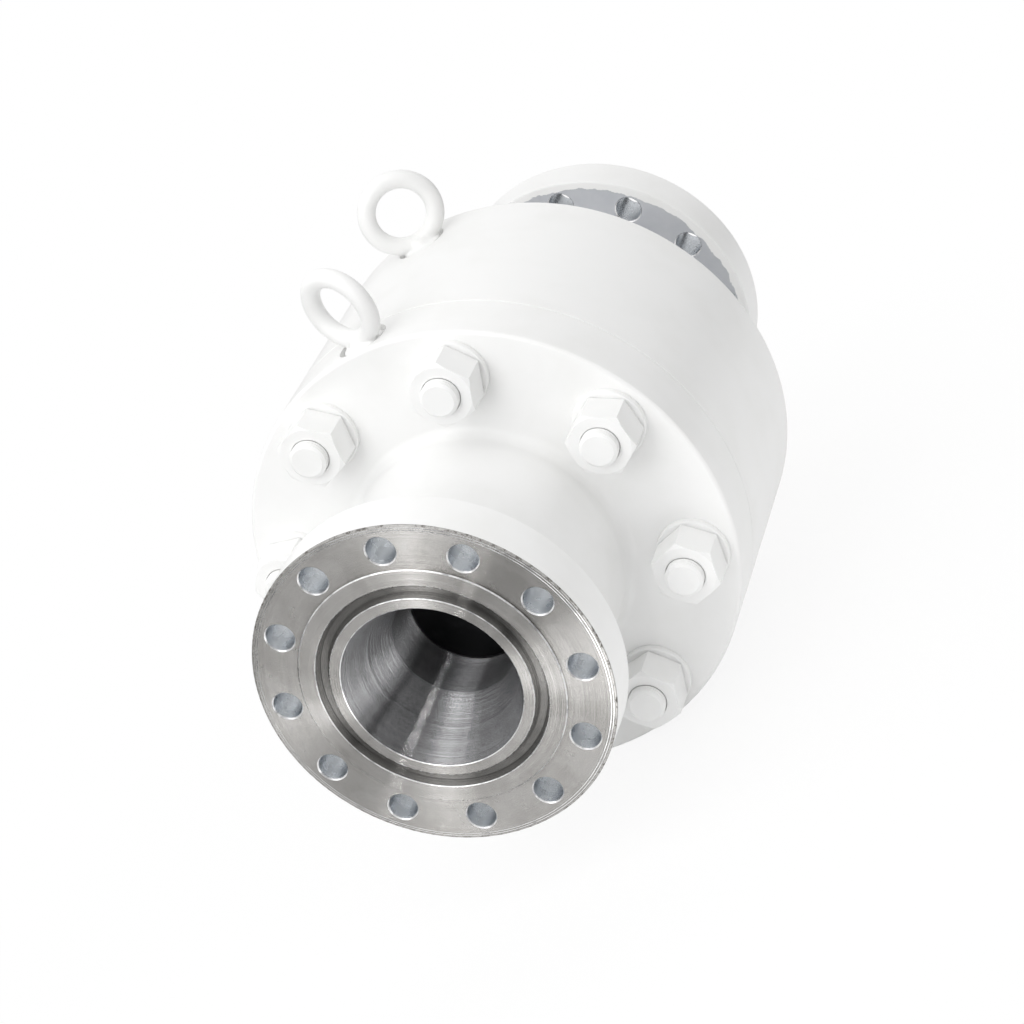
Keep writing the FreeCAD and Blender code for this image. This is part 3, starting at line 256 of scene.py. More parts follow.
class EyeSizes(bpy.types.PropertyGroup):
    """The two forged lifting eyes."""

    ring_radius: length_value("Ring Radius", "Radius to the middle of the ring", 0.0412)
    section_radius: length_value("Section Radius", "Radius of the ring's section", 0.0112)
    ring_lift: length_value("Ring Lift", "Ring centre above the spot face", 0.053)
    collar_diameter: length_value("Collar Diameter", "Collar under the ring", 0.050)
    collar_height: length_value("Collar Height", "Height of the collar", 0.007)
    collar_round: length_value("Collar Rounding", "Rounding of the collar's rim", 0.0028)
    neck_flare: length_value("Neck Flare", "Fillet between neck and collar", 0.004)
    neck_diameter: length_value("Neck Diameter", "Neck between collar and ring", 0.026)
    shank_diameter: length_value("Shank Diameter", "Shank in the body", 0.030)
    shank_length: length_value("Shank Length", "Length of the shank", 0.044)
    recess_diameter: length_value("Spot Face", "Diameter of the spot face", 0.062)
    recess_round: length_value("Spot Face Round", "Rounding of its floor", 0.0015)
    recess_cut: length_value("Spot Face Cut", "Height that the spot facer clears", 0.03)
    hole_gap: length_value("Hole Gap", "Room round the shank", 0.0002)
    hole_depth: length_value("Hole Depth", "Room under the shank", 0.003)
    floor_height: length_value("Spot Face Height", "Height over the flow axis", 0.281)
    front_place: length_value("Front Place", "Front eye's place along the flow", 0.302)
    rear_place: length_value("Rear Place", "Rear eye's place along the flow", 0.5536)
    front_turn: angle_value("Front Turn", "Turn of the front eye about its shank", 66.3)
    rear_turn: angle_value("Rear Turn", "Turn of the rear eye about its shank", -66.4)


class TrimSizes(bpy.types.PropertyGroup):
    """The seat, the disc, the spring and the tail cone."""

    seat_front: length_value("Seat Front", "Place where the seat ring starts", 0.132)
    seat_step: length_value("Seat Step", "Place of the seat flange's front", 0.160)
    seat_back: length_value("Seat Back", "Place of the seat flange's back", 0.174)
    seat_cone: length_value("Seat Cone", "Place where the seat cone starts", 0.162)
    seat_body_radius: length_value("Seat Body", "Radius of the seat body", 0.088)
    seat_flange_radius: length_value("Seat Flange", "Radius of the seat flange", 0.104)
    seat_fit: length_value("Seat Fit", "Room round the seat body", 0.0001)
    seat_gap: length_value("Seat Gap", "Room round the seat flange", 0.0003)
    seat_round: length_value("Seat Rounding", "Rounding of the seat flange's edge", 0.0008)
    insert_radius: length_value("Insert Groove", "Outer radius of the insert groove", 0.0871)
    insert_depth: length_value("Insert Depth", "Depth of the insert groove", 0.006)
    disc_nose: length_value("Disc Nose", "Place of the disc's front", 0.150)
    disc_rim_radius: length_value("Disc Rim", "Outer radius of the disc", 0.084)
    disc_back: length_value("Disc Back", "Place of the disc rim's back", 0.196)
    disc_cone_radius: length_value("Disc Cone", "Radius where the disc's cone starts", 0.066)
    dome_round: length_value("Disc Dome", "Rounding of the disc's nose", 0.25)
    disc_recess: length_value("Disc Recess", "Place of the recess behind the disc", 0.184)
    recess_radius: length_value("Recess Radius", "Radius of that recess", 0.060)
    edge_round: length_value("Trim Edges", "Rounding of the turned trim's edges", 0.002)
    hub_radius: length_value("Disc Hub", "Radius of the disc's hub", 0.034)
    hub_back: length_value("Hub Back", "Place of the hub's back", 0.200)
    stem_radius: length_value("Stem", "Radius of the disc stem", 0.020)
    stem_front: length_value("Stem Front", "Place where the stem starts", 0.168)
    wire_radius: length_value("Spring Wire", "Radius of the spring wire", 0.0035)
    coil_radius: length_value("Spring Coil", "Mean radius of the coils", 0.0305)
    coil_turns: FloatProperty(name="Spring Turns", description="Number of coils",
                              default=6.5, min=1.0)
    tail_front: length_value("Tail Joint", "Place where the tail joint starts", 0.450)
    tail_base: length_value("Tail Base", "Place of the tail's base", 0.470)
    tail_joint_radius: length_value("Joint Radius", "Radius of the tail joint", 0.060)
    tail_base_radius: length_value("Base Radius", "Radius of the tail's base", 0.112)
    tail_bore: length_value("Tail Bore", "Radius of the stem's room", 0.024)
    tail_bore_end: length_value("Bore End", "Place where the stem's room ends", 0.496)
    tail_tip: length_value("Tail Tip", "Place of the tail's tip", 0.650)
    tail_tip_radius: length_value("Tip Radius", "Radius of the tail's tip", 0.010)
    tail_tip_round: length_value("Tip Rounding", "Rounding of the tail's tip", 0.004)
    tail_bore_round: length_value("Bore Rounding", "Rounding at the end of the tail's bore", 0.006)


class FinishColours(bpy.types.PropertyGroup):
    """The colours of paint, metal and seals."""

    paint: colour_value("Paint", "Open faces of the paint", (0.915, 0.915, 0.908))
    paint_shade: colour_value("Paint Shade", "Slightly dulled paint", (0.886, 0.886, 0.874))
    face: colour_value("Turned Face", "Oiled, turned flange face", (0.45, 0.441, 0.428))
    face_stain: colour_value("Face Stain", "Stains on the turned face", (0.335, 0.326, 0.311))
    # Burnished steel, coloured bright as a painted highlight along the machined edges.
    edge: colour_value("Bright Edge", "Burnished, deburred edges", (0.80, 0.80, 0.80))
    chip: colour_value("Chipped Edge", "Scale in the chips of the rim", (0.16, 0.15, 0.14))
    bare_back: colour_value("Bare Back", "Machined back of a flange", (0.66, 0.67, 0.70))
    back_stain: colour_value("Back Stain", "Duller back of a flange", (0.52, 0.54, 0.58))
    bore: colour_value("Bore", "Turned steel of the bore", (0.43, 0.43, 0.44))
    bore_stain: colour_value("Bore Stain", "Darker bands of the bore", (0.32, 0.32, 0.325))
    # Darker than the bore as painted shade deep in the throat.
    throat: colour_value("Throat", "Turned steel of the throat", (0.24, 0.24, 0.245))
    drilled: colour_value("Drilled", "Drilled steel of the bolt holes", (0.76, 0.79, 0.825))
    # Darker than the turned face as painted shade in the ring groove.
    groove: colour_value("Groove", "Turned steel of the ring groove", (0.27, 0.264, 0.255))
    trim: colour_value("Trim", "Stainless steel of the trim", (0.56, 0.55, 0.53))
    casting: colour_value("Casting", "Cast flow guide", (0.42, 0.42, 0.41))
    # Nearly black as painted shade at the dark end of the bore.
    disc: colour_value("Disc", "Dark, hard face of the disc", (0.012, 0.012, 0.013))
    spring: colour_value("Spring", "Spring steel", (0.30, 0.30, 0.31))
    bronze: colour_value("Bronze", "Guide bushes", (0.62, 0.43, 0.21))
    rubber: colour_value("Rubber", "Seal rings", (0.03, 0.03, 0.032))
    polymer: colour_value("Polymer", "Seat insert and stop ring", (0.74, 0.70, 0.58))
    gasket: colour_value("Gasket", "Wound gasket", (0.40, 0.37, 0.33))


class StageSettings(bpy.types.PropertyGroup):
    """The floor, the light and the camera."""

    camera_place: place_value("Camera Place", "Where the camera stands",
                              (-2.3160, -1.4847, 1.0902))
    camera_aim: place_value("Camera Aim", "A point in the middle of the view",
                            (0.1569, -0.1158, 0.0852))
    camera_roll: angle_value("Camera Roll", "How far the camera leans", 34.2)
    camera_lens: FloatProperty(name="Lens", description="Focal length in millimetres",
                               default=97.18, min=1.0)
    daylight: FloatProperty(name="Daylight", description="Strength of the light all round",
                            default=0.92, min=0.0)
    dark_side: FloatVectorProperty(
        name="Dark Side", description="Where the dark end of the studio is", size=3,
        subtype="DIRECTION", default=(-0.93, -0.33, 0.14))
    dark_reach: angle_value("Dark Reach", "Half the width of the dark end", 25)
    dark_core: angle_value("Dark Core", "Half the width of its darkest part", 12.5)
    dark_share: share_value("Dark Share", "Daylight left in the dark end", 0.25)
    window_lamp: power_value("Window", "Power of the upright lamp in front", 3.0)
    front_lamp: power_value("Front Lamp", "Power of the large lamp in front", 18.0)
    strip_lamp: power_value("Strip Lamp", "Power of the narrow lamp in front", 4.0)
    top_lamp: power_value("Top Lamp", "Power of the soft lamp above", 10.0)
    sky_lamp: power_value("Sky Lamp", "Power of the soft lamp at the left", 1.0)
    low_lamp: power_value("Low Lamp", "Power of the soft lamp near the floor", 1.0)
    paper_lamp: power_value("Paper Lamp", "Power of the light off the paper", 1.3)
    aim: place_value("Lamp Aim", "What the lamps are turned to", (0.3, 0.0, 0.0))
    floor_size: length_value("Floor Size", "Side of the square floor", 80.0)
    paper_radius: length_value("Paper Radius", "Reach of the white paper", 0.8)
    paper_white: share_value("Paper White", "How much light the paper returns", 0.9)
    studio_floor: share_value("Studio Floor", "How pale the far floor is", 0.14)
    floor_white: share_value("Floor White", "How white the paper looks", 0.88)
    shadow_reach: length_value("Shadow Reach", "Where the shadow starts to fade to white", 0.45)


class ValveSettings(bpy.types.PropertyGroup):
    """Everything that the sidebar offers."""

    flange: PointerProperty(type=FlangeSizes)
    body: PointerProperty(type=BodySizes)
    fastener: PointerProperty(type=FastenerSizes)
    eye: PointerProperty(type=EyeSizes)
    trim: PointerProperty(type=TrimSizes)
    colour: PointerProperty(type=FinishColours)
    stage: PointerProperty(type=StageSettings)


def settings():
    """The values of the sidebar."""
    return bpy.context.scene.valve


class NodeGraph:
    """The nodes of a material or the world, and short ways to make them."""

    def __init__(self, owner):
        owner.use_nodes = True
        self.nodes = owner.node_tree.nodes
        self.links = owner.node_tree.links

    def add(self, kind, inputs=None, **options):
        """A node with its options set and its inputs fed by sockets or plain values."""
        node = self.nodes.new(kind)
        for option, value in options.items():
            setattr(node, option, value)
        for socket, value in (inputs or {}).items():
            self.feed(node.inputs[socket], value)
        return node

    def feed(self, socket, value):
        """Link a socket to an input, or set the input to a plain value."""
        if isinstance(value, bpy.types.NodeSocket):
            self.links.new(value, socket)
        else:
            socket.default_value = value

    def math(self, operation, first, second=0.0, third=0.0):
        """The result of a sum with up to three numbers."""
        inputs = {0: first, 1: second, 2: third}
        return self.add("ShaderNodeMath", inputs, operation=operation).outputs[0]

    def vector(self, operation, first, second=(0.0, 0.0, 0.0), third=(0.0, 0.0, 0.0)):
        """The node of a sum with up to three vectors."""
        inputs = {0: first, 1: second, 2: third}
        return self.add("ShaderNodeVectorMath", inputs, operation=operation)

    def spread(self, value, low, high, to_low=0.0, to_high=1.0):
        """The part of a value between two levels, eased in and out."""
        inputs = {"Value": value, "From Min": low, "From Max": high,
                  "To Min": to_low, "To Max": to_high}
        node = self.add("ShaderNodeMapRange", inputs, interpolation_type="SMOOTHSTEP")
        return node.outputs[0]

    def mixed(self, factor, first, second):
        """Two numbers mixed by a factor."""
        inputs = {0: factor, 2: first, 3: second}
        return self.add("ShaderNodeMix", inputs).outputs[0]

    def tinted(self, factor, first, second):
        """Two colours mixed by a factor."""
        inputs = {0: factor, 6: opaque(first), 7: opaque(second)}
        return self.add("ShaderNodeMix", inputs, data_type="RGBA").outputs[2]

    def backdrop_mask(self):
        """One for rays that show the background, straight or through glass."""
        path = self.add("ShaderNodeLightPath").outputs
        return self.math("MAXIMUM", path["Is Camera Ray"], path["Is Transmission Ray"])


class Finish(NodeGraph):
    """One procedural material and the shader that its nodes feed."""

    def __init__(self, name, **uniform):
        self.material = bpy.data.materials.new(name)
        super().__init__(self.material)
        self.shader = self.nodes["Principled BSDF"]
        self.place = self.add("ShaderNodeTexCoord").outputs["Object"]
        self.normal = None
        for socket, value in uniform.items():
            self.shader.inputs[socket.replace("_", " ").title()].default_value = value

    def noise(self, scale, detail=2.0, roughness=0.5):
        """Cloudy noise in space, from 0 to 1."""
        inputs = {"Vector": self.place, "Scale": scale, "Detail": detail, "Roughness": roughness}
        return self.add("ShaderNodeTexNoise", inputs).outputs[0]

    def bands(self, along, scale, detail=2.0, roughness=0.6):
        """Noise that changes only along one number, such as tool marks along a radius."""
        inputs = {"W": along, "Scale": scale, "Detail": detail, "Roughness": roughness}
        return self.add("ShaderNodeTexNoise", inputs, noise_dimensions="1D").outputs[0]

    def flow(self):
        """Distance along the flow axis."""
        return self.add("ShaderNodeSeparateXYZ", {0: self.place}).outputs["X"]

    def radius(self):
        """Distance from the flow axis."""
        across = self.vector("MULTIPLY", self.place, (0.0, 1.0, 1.0)).outputs[0]
        return self.vector("LENGTH", across).outputs["Value"]

    def turned_tangent(self):
        """Gloss that spreads across the tool marks, which run round the flow axis."""
        cross = self.vector("CROSS_PRODUCT", (1.0, 0.0, 0.0), self.place).outputs[0]
        around = self.vector("NORMALIZE", cross).outputs[0]
        self.feed(self.shader.inputs["Tangent"], around)
        self.shader.inputs["Anisotropic Rotation"].default_value = 0.25

    def ridges(self, along, height, slope):
        """Tilt the surface to and fro across its tool marks, by a slope at the most."""
        across = (1.0, 0.0, 0.0)
        if along == "radius":
            outwards = self.vector("MULTIPLY", self.place, (0.0, 1.0, 1.0)).outputs[0]
            across = self.vector("NORMALIZE", outwards).outputs[0]
        lean = self.math("MULTIPLY_ADD", height, slope * 2.0, -slope)
        surface = self.add("ShaderNodeNewGeometry").outputs["Normal"]
        tilted = self.vector("MULTIPLY_ADD", across, lean, surface).outputs[0]
        self.normal = self.vector("NORMALIZE", tilted).outputs[0]

    def bump(self, height, depth):
        """Raise the surface by a height from 0 to 1, depth metres high."""
        inputs = {"Height": height, "Distance": depth}
        if self.normal:
            inputs["Normal"] = self.normal
        self.normal = self.add("ShaderNodeBump", inputs).outputs[0]

    def done(self, **fed):
        """Feed the shader and hand over the material."""
        for socket, value in fed.items():
            self.feed(self.shader.inputs[socket.replace("_", " ").title()], value)
        if self.normal:
            self.links.new(self.normal, self.shader.inputs["Normal"])
        return self.material


def opaque(colour):
    """A colour with an alpha of one, or a socket as it is."""
    if isinstance(colour, bpy.types.NodeSocket):
        return colour
    return (*colour, 1.0)


def shaded(colour, share):
    """The same colour, darker or paler by a share."""
    return tuple(part * share for part in colour)


def paint_coat(finish):
    """Colour and roughness of the thick white paint."""
    colour = settings().colour
    cloud = finish.spread(finish.noise(11.0, 4.0, 0.55), 0.42, 0.72)
    tone = finish.tinted(cloud, colour.paint, colour.paint_shade)
    roughness = finish.math("MULTIPLY_ADD", finish.noise(60.0, 3.0), 0.12, 0.33)
    return tone, roughness


def paint_surface(finish):
    """The flow of brushed or sprayed paint over a forging."""
    finish.bump(finish.noise(38.0, 2.0), 0.00022)
    finish.bump(finish.noise(260.0, 2.0), 0.000035)


def white_paint():
    finish = Finish("white paint")
    paint_surface(finish)
    tone, roughness = paint_coat(finish)
    return finish.done(Base_Color=tone, Roughness=roughness)


def worn_paint(name, bare):
    """Paint that gives way to bare steel where the mask, given by a function, is one."""
    finish = Finish(name)
    colour = settings().colour
    tone, roughness = paint_coat(finish)
    mask = bare(finish)
    steel = finish.tinted(finish.noise(45.0, 3.0), colour.bare_back, colour.back_stain)
    finish.bump(finish.math("SUBTRACT", 1.0, mask), 0.00025)
    paint_surface(finish)
    return finish.done(Base_Color=finish.tinted(mask, tone, steel), Metallic=mask,
                       Roughness=finish.mixed(mask, roughness, 0.36))


def rim_paint():
    """Paint of the flange rims, scraped along both edges."""
    scrape = 0.0030
    flange = settings().flange
    length = settings().body.overall_length

    def bare(finish):
        along = finish.flow()
        from_front = finish.math("ABSOLUTE", finish.math("SUBTRACT", along, flange.raised_height))
        outlet = length - flange.raised_height
        from_back = finish.math("ABSOLUTE", finish.math("SUBTRACT", along, outlet))
        near = finish.math("MINIMUM", from_front, from_back)
        ragged = finish.math("MULTIPLY", finish.noise(120.0, 5.0, 0.7), scrape)
        return finish.spread(finish.math("SUBTRACT", near, ragged), -0.0003, 0.0001, 1.0, 0.0)

    return worn_paint("rim paint", bare)


def flange_back():
    """The machined back of a flange, with paint lapping in from the rim and the neck."""
    flange = settings().flange
    body = settings().body
    wander = 0.010
    fade = 0.0006
    outer = flange.diameter / 2 - wander
    inner = body.neck_diameter / 2 + body.neck_fillet

    def bare(finish):
        ragged = finish.math("MULTIPLY_ADD", finish.noise(26.0, 5.0, 0.65), wander * 2, -wander)
        radius = finish.math("ADD", finish.radius(), ragged)
        from_rim = finish.spread(radius, outer - fade, outer + fade, 1.0, 0.0)
        from_neck = finish.spread(radius, inner - fade, inner + fade)
        return finish.math("MULTIPLY", from_rim, from_neck)

    return worn_paint("flange back", bare)


def turned_metal(name, clean, stained, along, marks, roughness, slope, grain=1.0):
    """Lathe-turned metal with so many tool marks to the metre, up to a slope steep."""
    finish = Finish(name, Metallic=1.0, Anisotropic=grain)
    finish.turned_tangent()
    where = finish.radius() if along == "radius" else finish.flow()
    broad_marks = finish.bands(where, marks / 5, 3.0)
    fine_marks = finish.spread(finish.bands(where, marks * 4, 2.0), 0.34, 0.66)
    stain = finish.spread(finish.noise(15.0, 6.0, 0.62), 0.36, 0.66)
    cover = finish.math("MULTIPLY_ADD", broad_marks, 0.40, finish.math("MULTIPLY", stain, 0.60))
    rough = finish.math("MULTIPLY_ADD", finish.noise(40.0, 3.0), 0.08, roughness)
    finish.ridges(along, fine_marks, slope)
    return finish.done(Base_Color=finish.tinted(cover, clean, stained), Roughness=rough)


def turned_face():
    colour = settings().colour
    return turned_metal("turned face", colour.face, colour.face_stain, "radius",
                        marks=1900.0, roughness=0.14, slope=0.85)


def flange_land():
    """The flange's outer face, cloudy from handling."""
    colour = settings().colour
    return turned_metal("flange land", colour.face, colour.face_stain, "radius",
                        marks=1900.0, roughness=0.22, slope=0.7, grain=0.9)


def bore_steel():
    colour = settings().colour
    return turned_metal("bore steel", colour.bore, colour.bore_stain, "flow",
                        marks=1500.0, roughness=0.15, slope=1.45)


# Turned steel coloured darker than the bore as painted shade deep in the bore.
def throat_steel_painted_shade():
    tone = settings().colour.throat
    return turned_metal("throat steel", tone, shaded(tone, 0.6), "flow",
                        marks=1500.0, roughness=0.15, slope=2.2)


# Turned steel coloured darker than the face as painted shade in the ring groove.
def groove_steel_painted_shade():
    tone = settings().colour.groove
    return turned_metal("groove steel", tone, shaded(tone, 0.7), "radius",
                        marks=2500.0, roughness=0.16, slope=0.8)


def trim_steel():
    colour = settings().colour
    return turned_metal("trim steel", colour.trim, colour.bore, "radius",
                        marks=1100.0, roughness=0.26, slope=0.05, grain=0.7)


def stem_steel():
    colour = settings().colour
    return turned_metal("stem steel", colour.trim, colour.bore, "flow",
                        marks=1900.0, roughness=0.16, slope=0.03, grain=0.6)


def bronze():
    tone = settings().colour.bronze
    return turned_metal("bronze", tone, shaded(tone, 0.7), "flow",
                        marks=1300.0, roughness=0.3, slope=0.05, grain=0.6)


def burnished_edge_painted_highlight():
    """Deburred edges, coloured brighter than the faces beside them as a painted highlight."""
    colour = settings().colour
    finish = Finish("burnished edge", Metallic=1.0)
    tone = finish.tinted(finish.spread(finish.noise(70.0, 4.0), 0.45, 0.70),
                         colour.edge, colour.bore)
    rough = finish.math("MULTIPLY_ADD", finish.noise(150.0), 0.15, 0.20)
    return finish.done(Base_Color=tone, Roughness=rough)


def chipped_edge():
    """The flange's front edge: bare steel with dark, ragged chips."""
    colour = settings().colour
    finish = Finish("chipped edge", Metallic=0.85)
    ragged = finish.spread(finish.noise(170.0, 6.0, 0.75), 0.48, 0.60)
    tone = finish.tinted(ragged, colour.face, colour.chip)
    finish.bump(finish.noise(240.0, 4.0, 0.7), 0.00020)
    rough = finish.math("MULTIPLY_ADD", ragged, 0.3, 0.34)
    return finish.done(Base_Color=tone, Roughness=rough)


def dark_disc():
    """The disc, coloured nearly black as painted shade deep in the bore, with its turning marks."""
    colour = settings().colour
    finish = Finish("dark disc", Metallic=0.9, Anisotropic=0.6)
    finish.turned_tangent()
    marks = finish.bands(finish.radius(), 1200.0, 3.0)
    stain = finish.spread(finish.noise(30.0, 4.0), 0.45, 0.75)
    tone = finish.tinted(stain, colour.disc, shaded(colour.disc, 2.4))
    finish.bump(marks, 0.000010)
    rough = finish.math("MULTIPLY_ADD", marks, 0.16, 0.30)
    return finish.done(Base_Color=tone, Roughness=rough)


def drilled_steel():
    """Drilled holes with feed marks round the drill's path."""
    colour = settings().colour
    finish = Finish("drilled steel", Metallic=1.0, Anisotropic=0.45)
    finish.feed(finish.shader.inputs["Tangent"],
                finish.add("ShaderNodeCombineXYZ", {0: 1.0}).outputs[0])
    along = finish.flow()
    marks = finish.bands(along, 900.0, 3.0)
    darker = shaded(colour.drilled, 0.66)
    streaks = finish.spread(finish.noise(36.0, 3.0, 0.6), 0.38, 0.68)
    cover = finish.math("MULTIPLY_ADD", marks, 0.5, finish.math("MULTIPLY", streaks, 0.4))
    finish.ridges("flow", finish.bands(along, 5000.0), 2.2)
    rough = finish.math("MULTIPLY_ADD", streaks, 0.08, 0.24)
    return finish.done(Base_Color=finish.tinted(cover, colour.drilled, darker), Roughness=rough)


def speckled(name, tone, other, mottle, pits, depth, roughness, metallic=1.0):
    """A plain surface, mottled between two colours, with fine pits and uneven gloss."""
    finish = Finish(name, Metallic=metallic)
    colour = finish.tinted(finish.noise(mottle, 4.0, 0.6), tone, other)
    finish.bump(finish.noise(pits, 3.0), depth)
    rough = finish.math("MULTIPLY_ADD", finish.noise(mottle * 1.4), 0.2, roughness)
    return finish.done(Base_Color=colour, Roughness=rough)


def cast_guide():
    """The sand-cast flow guide, lightly blasted."""
    tone = settings().colour.casting
    return speckled("guide casting", tone, shaded(tone, 0.6), mottle=75.0, pits=420.0,
                    depth=0.00016, roughness=0.42, metallic=0.9)


def spring_steel():
    """Oil-hardened wire with drawing scratches."""
    tone = settings().colour.spring
    return speckled("spring steel", tone, shaded(tone, 0.5), mottle=190.0, pits=900.0,
                    depth=0.00001, roughness=0.28)


def seal_rubber():
    tone = settings().colour.rubber
    return speckled("seal rubber", tone, shaded(tone, 2.0), mottle=240.0, pits=1200.0,
                    depth=0.00001, roughness=0.52, metallic=0.0)


def polymer():
    """Filled polymer with faint turning marks."""
    colour = settings().colour
    finish = Finish("polymer")
    marks = finish.bands(finish.radius(), 1400.0)
    cover = finish.math("MULTIPLY_ADD", marks, 0.5,
                        finish.math("MULTIPLY", finish.noise(80.0, 3.0), 0.5))
    finish.bump(marks, 0.000006)
    rough = finish.math("MULTIPLY_ADD", marks, 0.1, 0.42)
    tone = finish.tinted(cover, colour.polymer, shaded(colour.polymer, 0.82))
    return finish.done(Base_Color=tone, Roughness=rough)


def wound_gasket():
    """A gasket of metal strip wound in fine turns with dark filler between them."""
    colour = settings().colour
    finish = Finish("wound gasket", Metallic=0.8)
    turns = finish.math("SINE", finish.math("MULTIPLY", finish.radius(), 9000.0))
    cover = finish.spread(turns, -0.2, 0.6)
    finish.bump(turns, 0.00004)
    rough = finish.math("MULTIPLY_ADD", finish.noise(200.0), 0.2, 0.35)
    tone = finish.tinted(cover, colour.gasket, shaded(colour.gasket, 0.3))
    return finish.done(Base_Color=tone, Roughness=rough)


FINISHES = {
    "white paint": white_paint,
    "rim paint": rim_paint,
    "flange back": flange_back,
    "turned face": turned_face,
    "flange land": flange_land,
    "bore steel": bore_steel,
    "throat steel": throat_steel_painted_shade,
    "groove steel": groove_steel_painted_shade,
    "burnished edge": burnished_edge_painted_highlight,
    "chipped edge": chipped_edge,
    "drilled steel": drilled_steel,
    "trim steel": trim_steel,
    "stem steel": stem_steel,
    "bronze": bronze,
    "dark disc": dark_disc,
    "guide casting": cast_guide,
    "spring steel": spring_steel,
    "seal rubber": seal_rubber,
    "polymer": polymer,
    "wound gasket": wound_gasket,
}


def finish_named(name):
    """The material of that name, made when it is first asked for."""
    return bpy.data.materials.get(name) or FINISHES[name]()


def with_modifiers(mesh, *modifiers):
    """A new mesh with modifiers applied. A modifier is its kind and its options."""
    carrier = bpy.data.objects.new("carrier", mesh)
    bpy.context.scene.collection.objects.link(carrier)
    for kind, options in modifiers:
        modifier = carrier.modifiers.new(kind.lower(), kind)
        for option, value in options.items():
            setattr(modifier, option, value)
    shaped = carrier.evaluated_get(bpy.context.evaluated_depsgraph_get())
    result = bpy.data.meshes.new_from_object(shaped)
    bpy.data.objects.remove(carrier)
    bpy.data.meshes.remove(mesh)
    return result


class Workpiece:
    """One piece on the bench: its faces, and the finishes that they carry."""

    def __init__(self, name, finishes=None):
        self.name = name
        self.work = bmesh.new()
        self.finishes = [] if finishes is None else finishes

    def finish_index(self, finish):
        if finish not in self.finishes:
            self.finishes.append(finish)
        return self.finishes.index(finish)

    def turn(self, finish, outline, about=FLOW_AXIS, steps=LARGE_STEPS):
        """Spin a stretch of outline about an axis. A point is (along, radius[, rounding])."""
        known = self.parts()
        points = [about @ Vector((point[0], 0.0, point[1])) for point in outline]
        verts = [self.work.verts.new(point) for point in points]
        for pair in zip(verts, verts[1:]):
            self.work.edges.new(pair)
        for vert, point in zip(verts, outline):
            if len(point) == 3:
                self.round_corner(vert, point[2])
        self.spin_new(known, about.translation, about.to_3x3() @ Vector((1, 0, 0)), steps)
        self.paint_new(known, finish)

    def parts(self):
        """The vertices, edges and faces that there are so far."""
        return set(self.work.verts) | set(self.work.edges) | set(self.work.faces)

    def spin_new(self, known, centre, axis, steps):
        """Spin the outline that wasn't there before once round an axis."""
        profile = [item for item in self.work.verts[:] + self.work.edges[:] if item not in known]
        bmesh.ops.spin(self.work, geom=profile, cent=centre, axis=axis, dvec=(0, 0, 0),
                       angle=math.tau, steps=steps, use_merge=True, use_duplicate=False)

    def paint_new(self, known, finish):
        """Give a finish to the faces that weren't there before."""
        index = self.finish_index(finish)
        for face in self.work.faces:
            if face not in known:
                face.material_index = index

    def round_corner(self, vert, radius):
        """Round one corner of an outline that isn't spun yet."""
        runs = [edge.other_vert(vert).co - vert.co for edge in vert.link_edges]
        opening = runs[0].angle(runs[1])
        segments = max(2, math.ceil((math.pi - opening) / ARC_STEP))
        bmesh.ops.bevel(self.work, geom=[vert], offset=radius / math.tan(opening / 2),
                        offset_type="OFFSET", segments=segments, profile=0.5,
                        affect="VERTICES", material=-1)

    def seal(self):
        """Join the stretches and turn every face outwards."""
        bmesh.ops.remove_doubles(self.work, verts=self.work.verts, dist=MERGE_DISTANCE)
        bmesh.ops.recalc_face_normals(self.work, faces=self.work.faces)

    def mesh(self):
        mesh = bpy.data.meshes.new(self.name)
        self.work.to_mesh(mesh)
        for finish in self.finishes:
            mesh.materials.append(finish_named(finish))
        return mesh

    def take(self, mesh):
        """Carry on with another mesh in place of this one."""
        self.work.clear()
        self.work.from_mesh(mesh)
        bpy.data.meshes.remove(mesh)

    def add(self, other):
        """Lay another workpiece beside this one in the same piece."""
        mesh = other.mesh()
        self.work.from_mesh(mesh)
        bpy.data.meshes.remove(mesh)

    def combine(self, other, operation="DIFFERENCE"):
        """Cut another solid away, or keep only what both share."""
        tool_mesh = other.mesh()
        tool = bpy.data.objects.new("tool", tool_mesh)
        bpy.context.scene.collection.objects.link(tool)
        options = {"operation": operation, "solver": "EXACT", "object": tool}
        self.take(with_modifiers(self.mesh(), ("BOOLEAN", options)))
        bpy.data.objects.remove(tool)
        bpy.data.meshes.remove(tool_mesh)

    def shape(self, *modifiers):
        self.take(with_modifiers(self.mesh(), *modifiers))

    def fit(self, body, slot, *replaced):
        """Put the finished piece on its body, in place of its plain solids."""
        if not self.work.faces:
            raise ValueError(self.name + " has no faces")
        mesh = self.mesh()
        mesh.shade_smooth()
        mesh.set_sharp_from_angle(angle=SHARP_ANGLE)
        piece = bpy.data.objects.new(self.name, mesh)
        bpy.context.scene.collection.objects.link(piece)
        level = piece.modifiers.new("even shading", "WEIGHTED_NORMAL")
        level.keep_sharp = True
        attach(piece, body)
        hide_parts(*replaced)
        self.work.free()
        return piece


def spaced_turns(count):
    """Angles that put a count of holes evenly either side of the top."""
    return [(index + 0.5) * math.tau / count for index in range(count)]


def beside_axis(circle, angle):
    """A turning axis along the flow, on a circle about it. The angle runs from +Z to +Y."""
    place = (0.0, circle / 2 * math.sin(angle), circle / 2 * math.cos(angle))
    return Matrix.Translation(place)


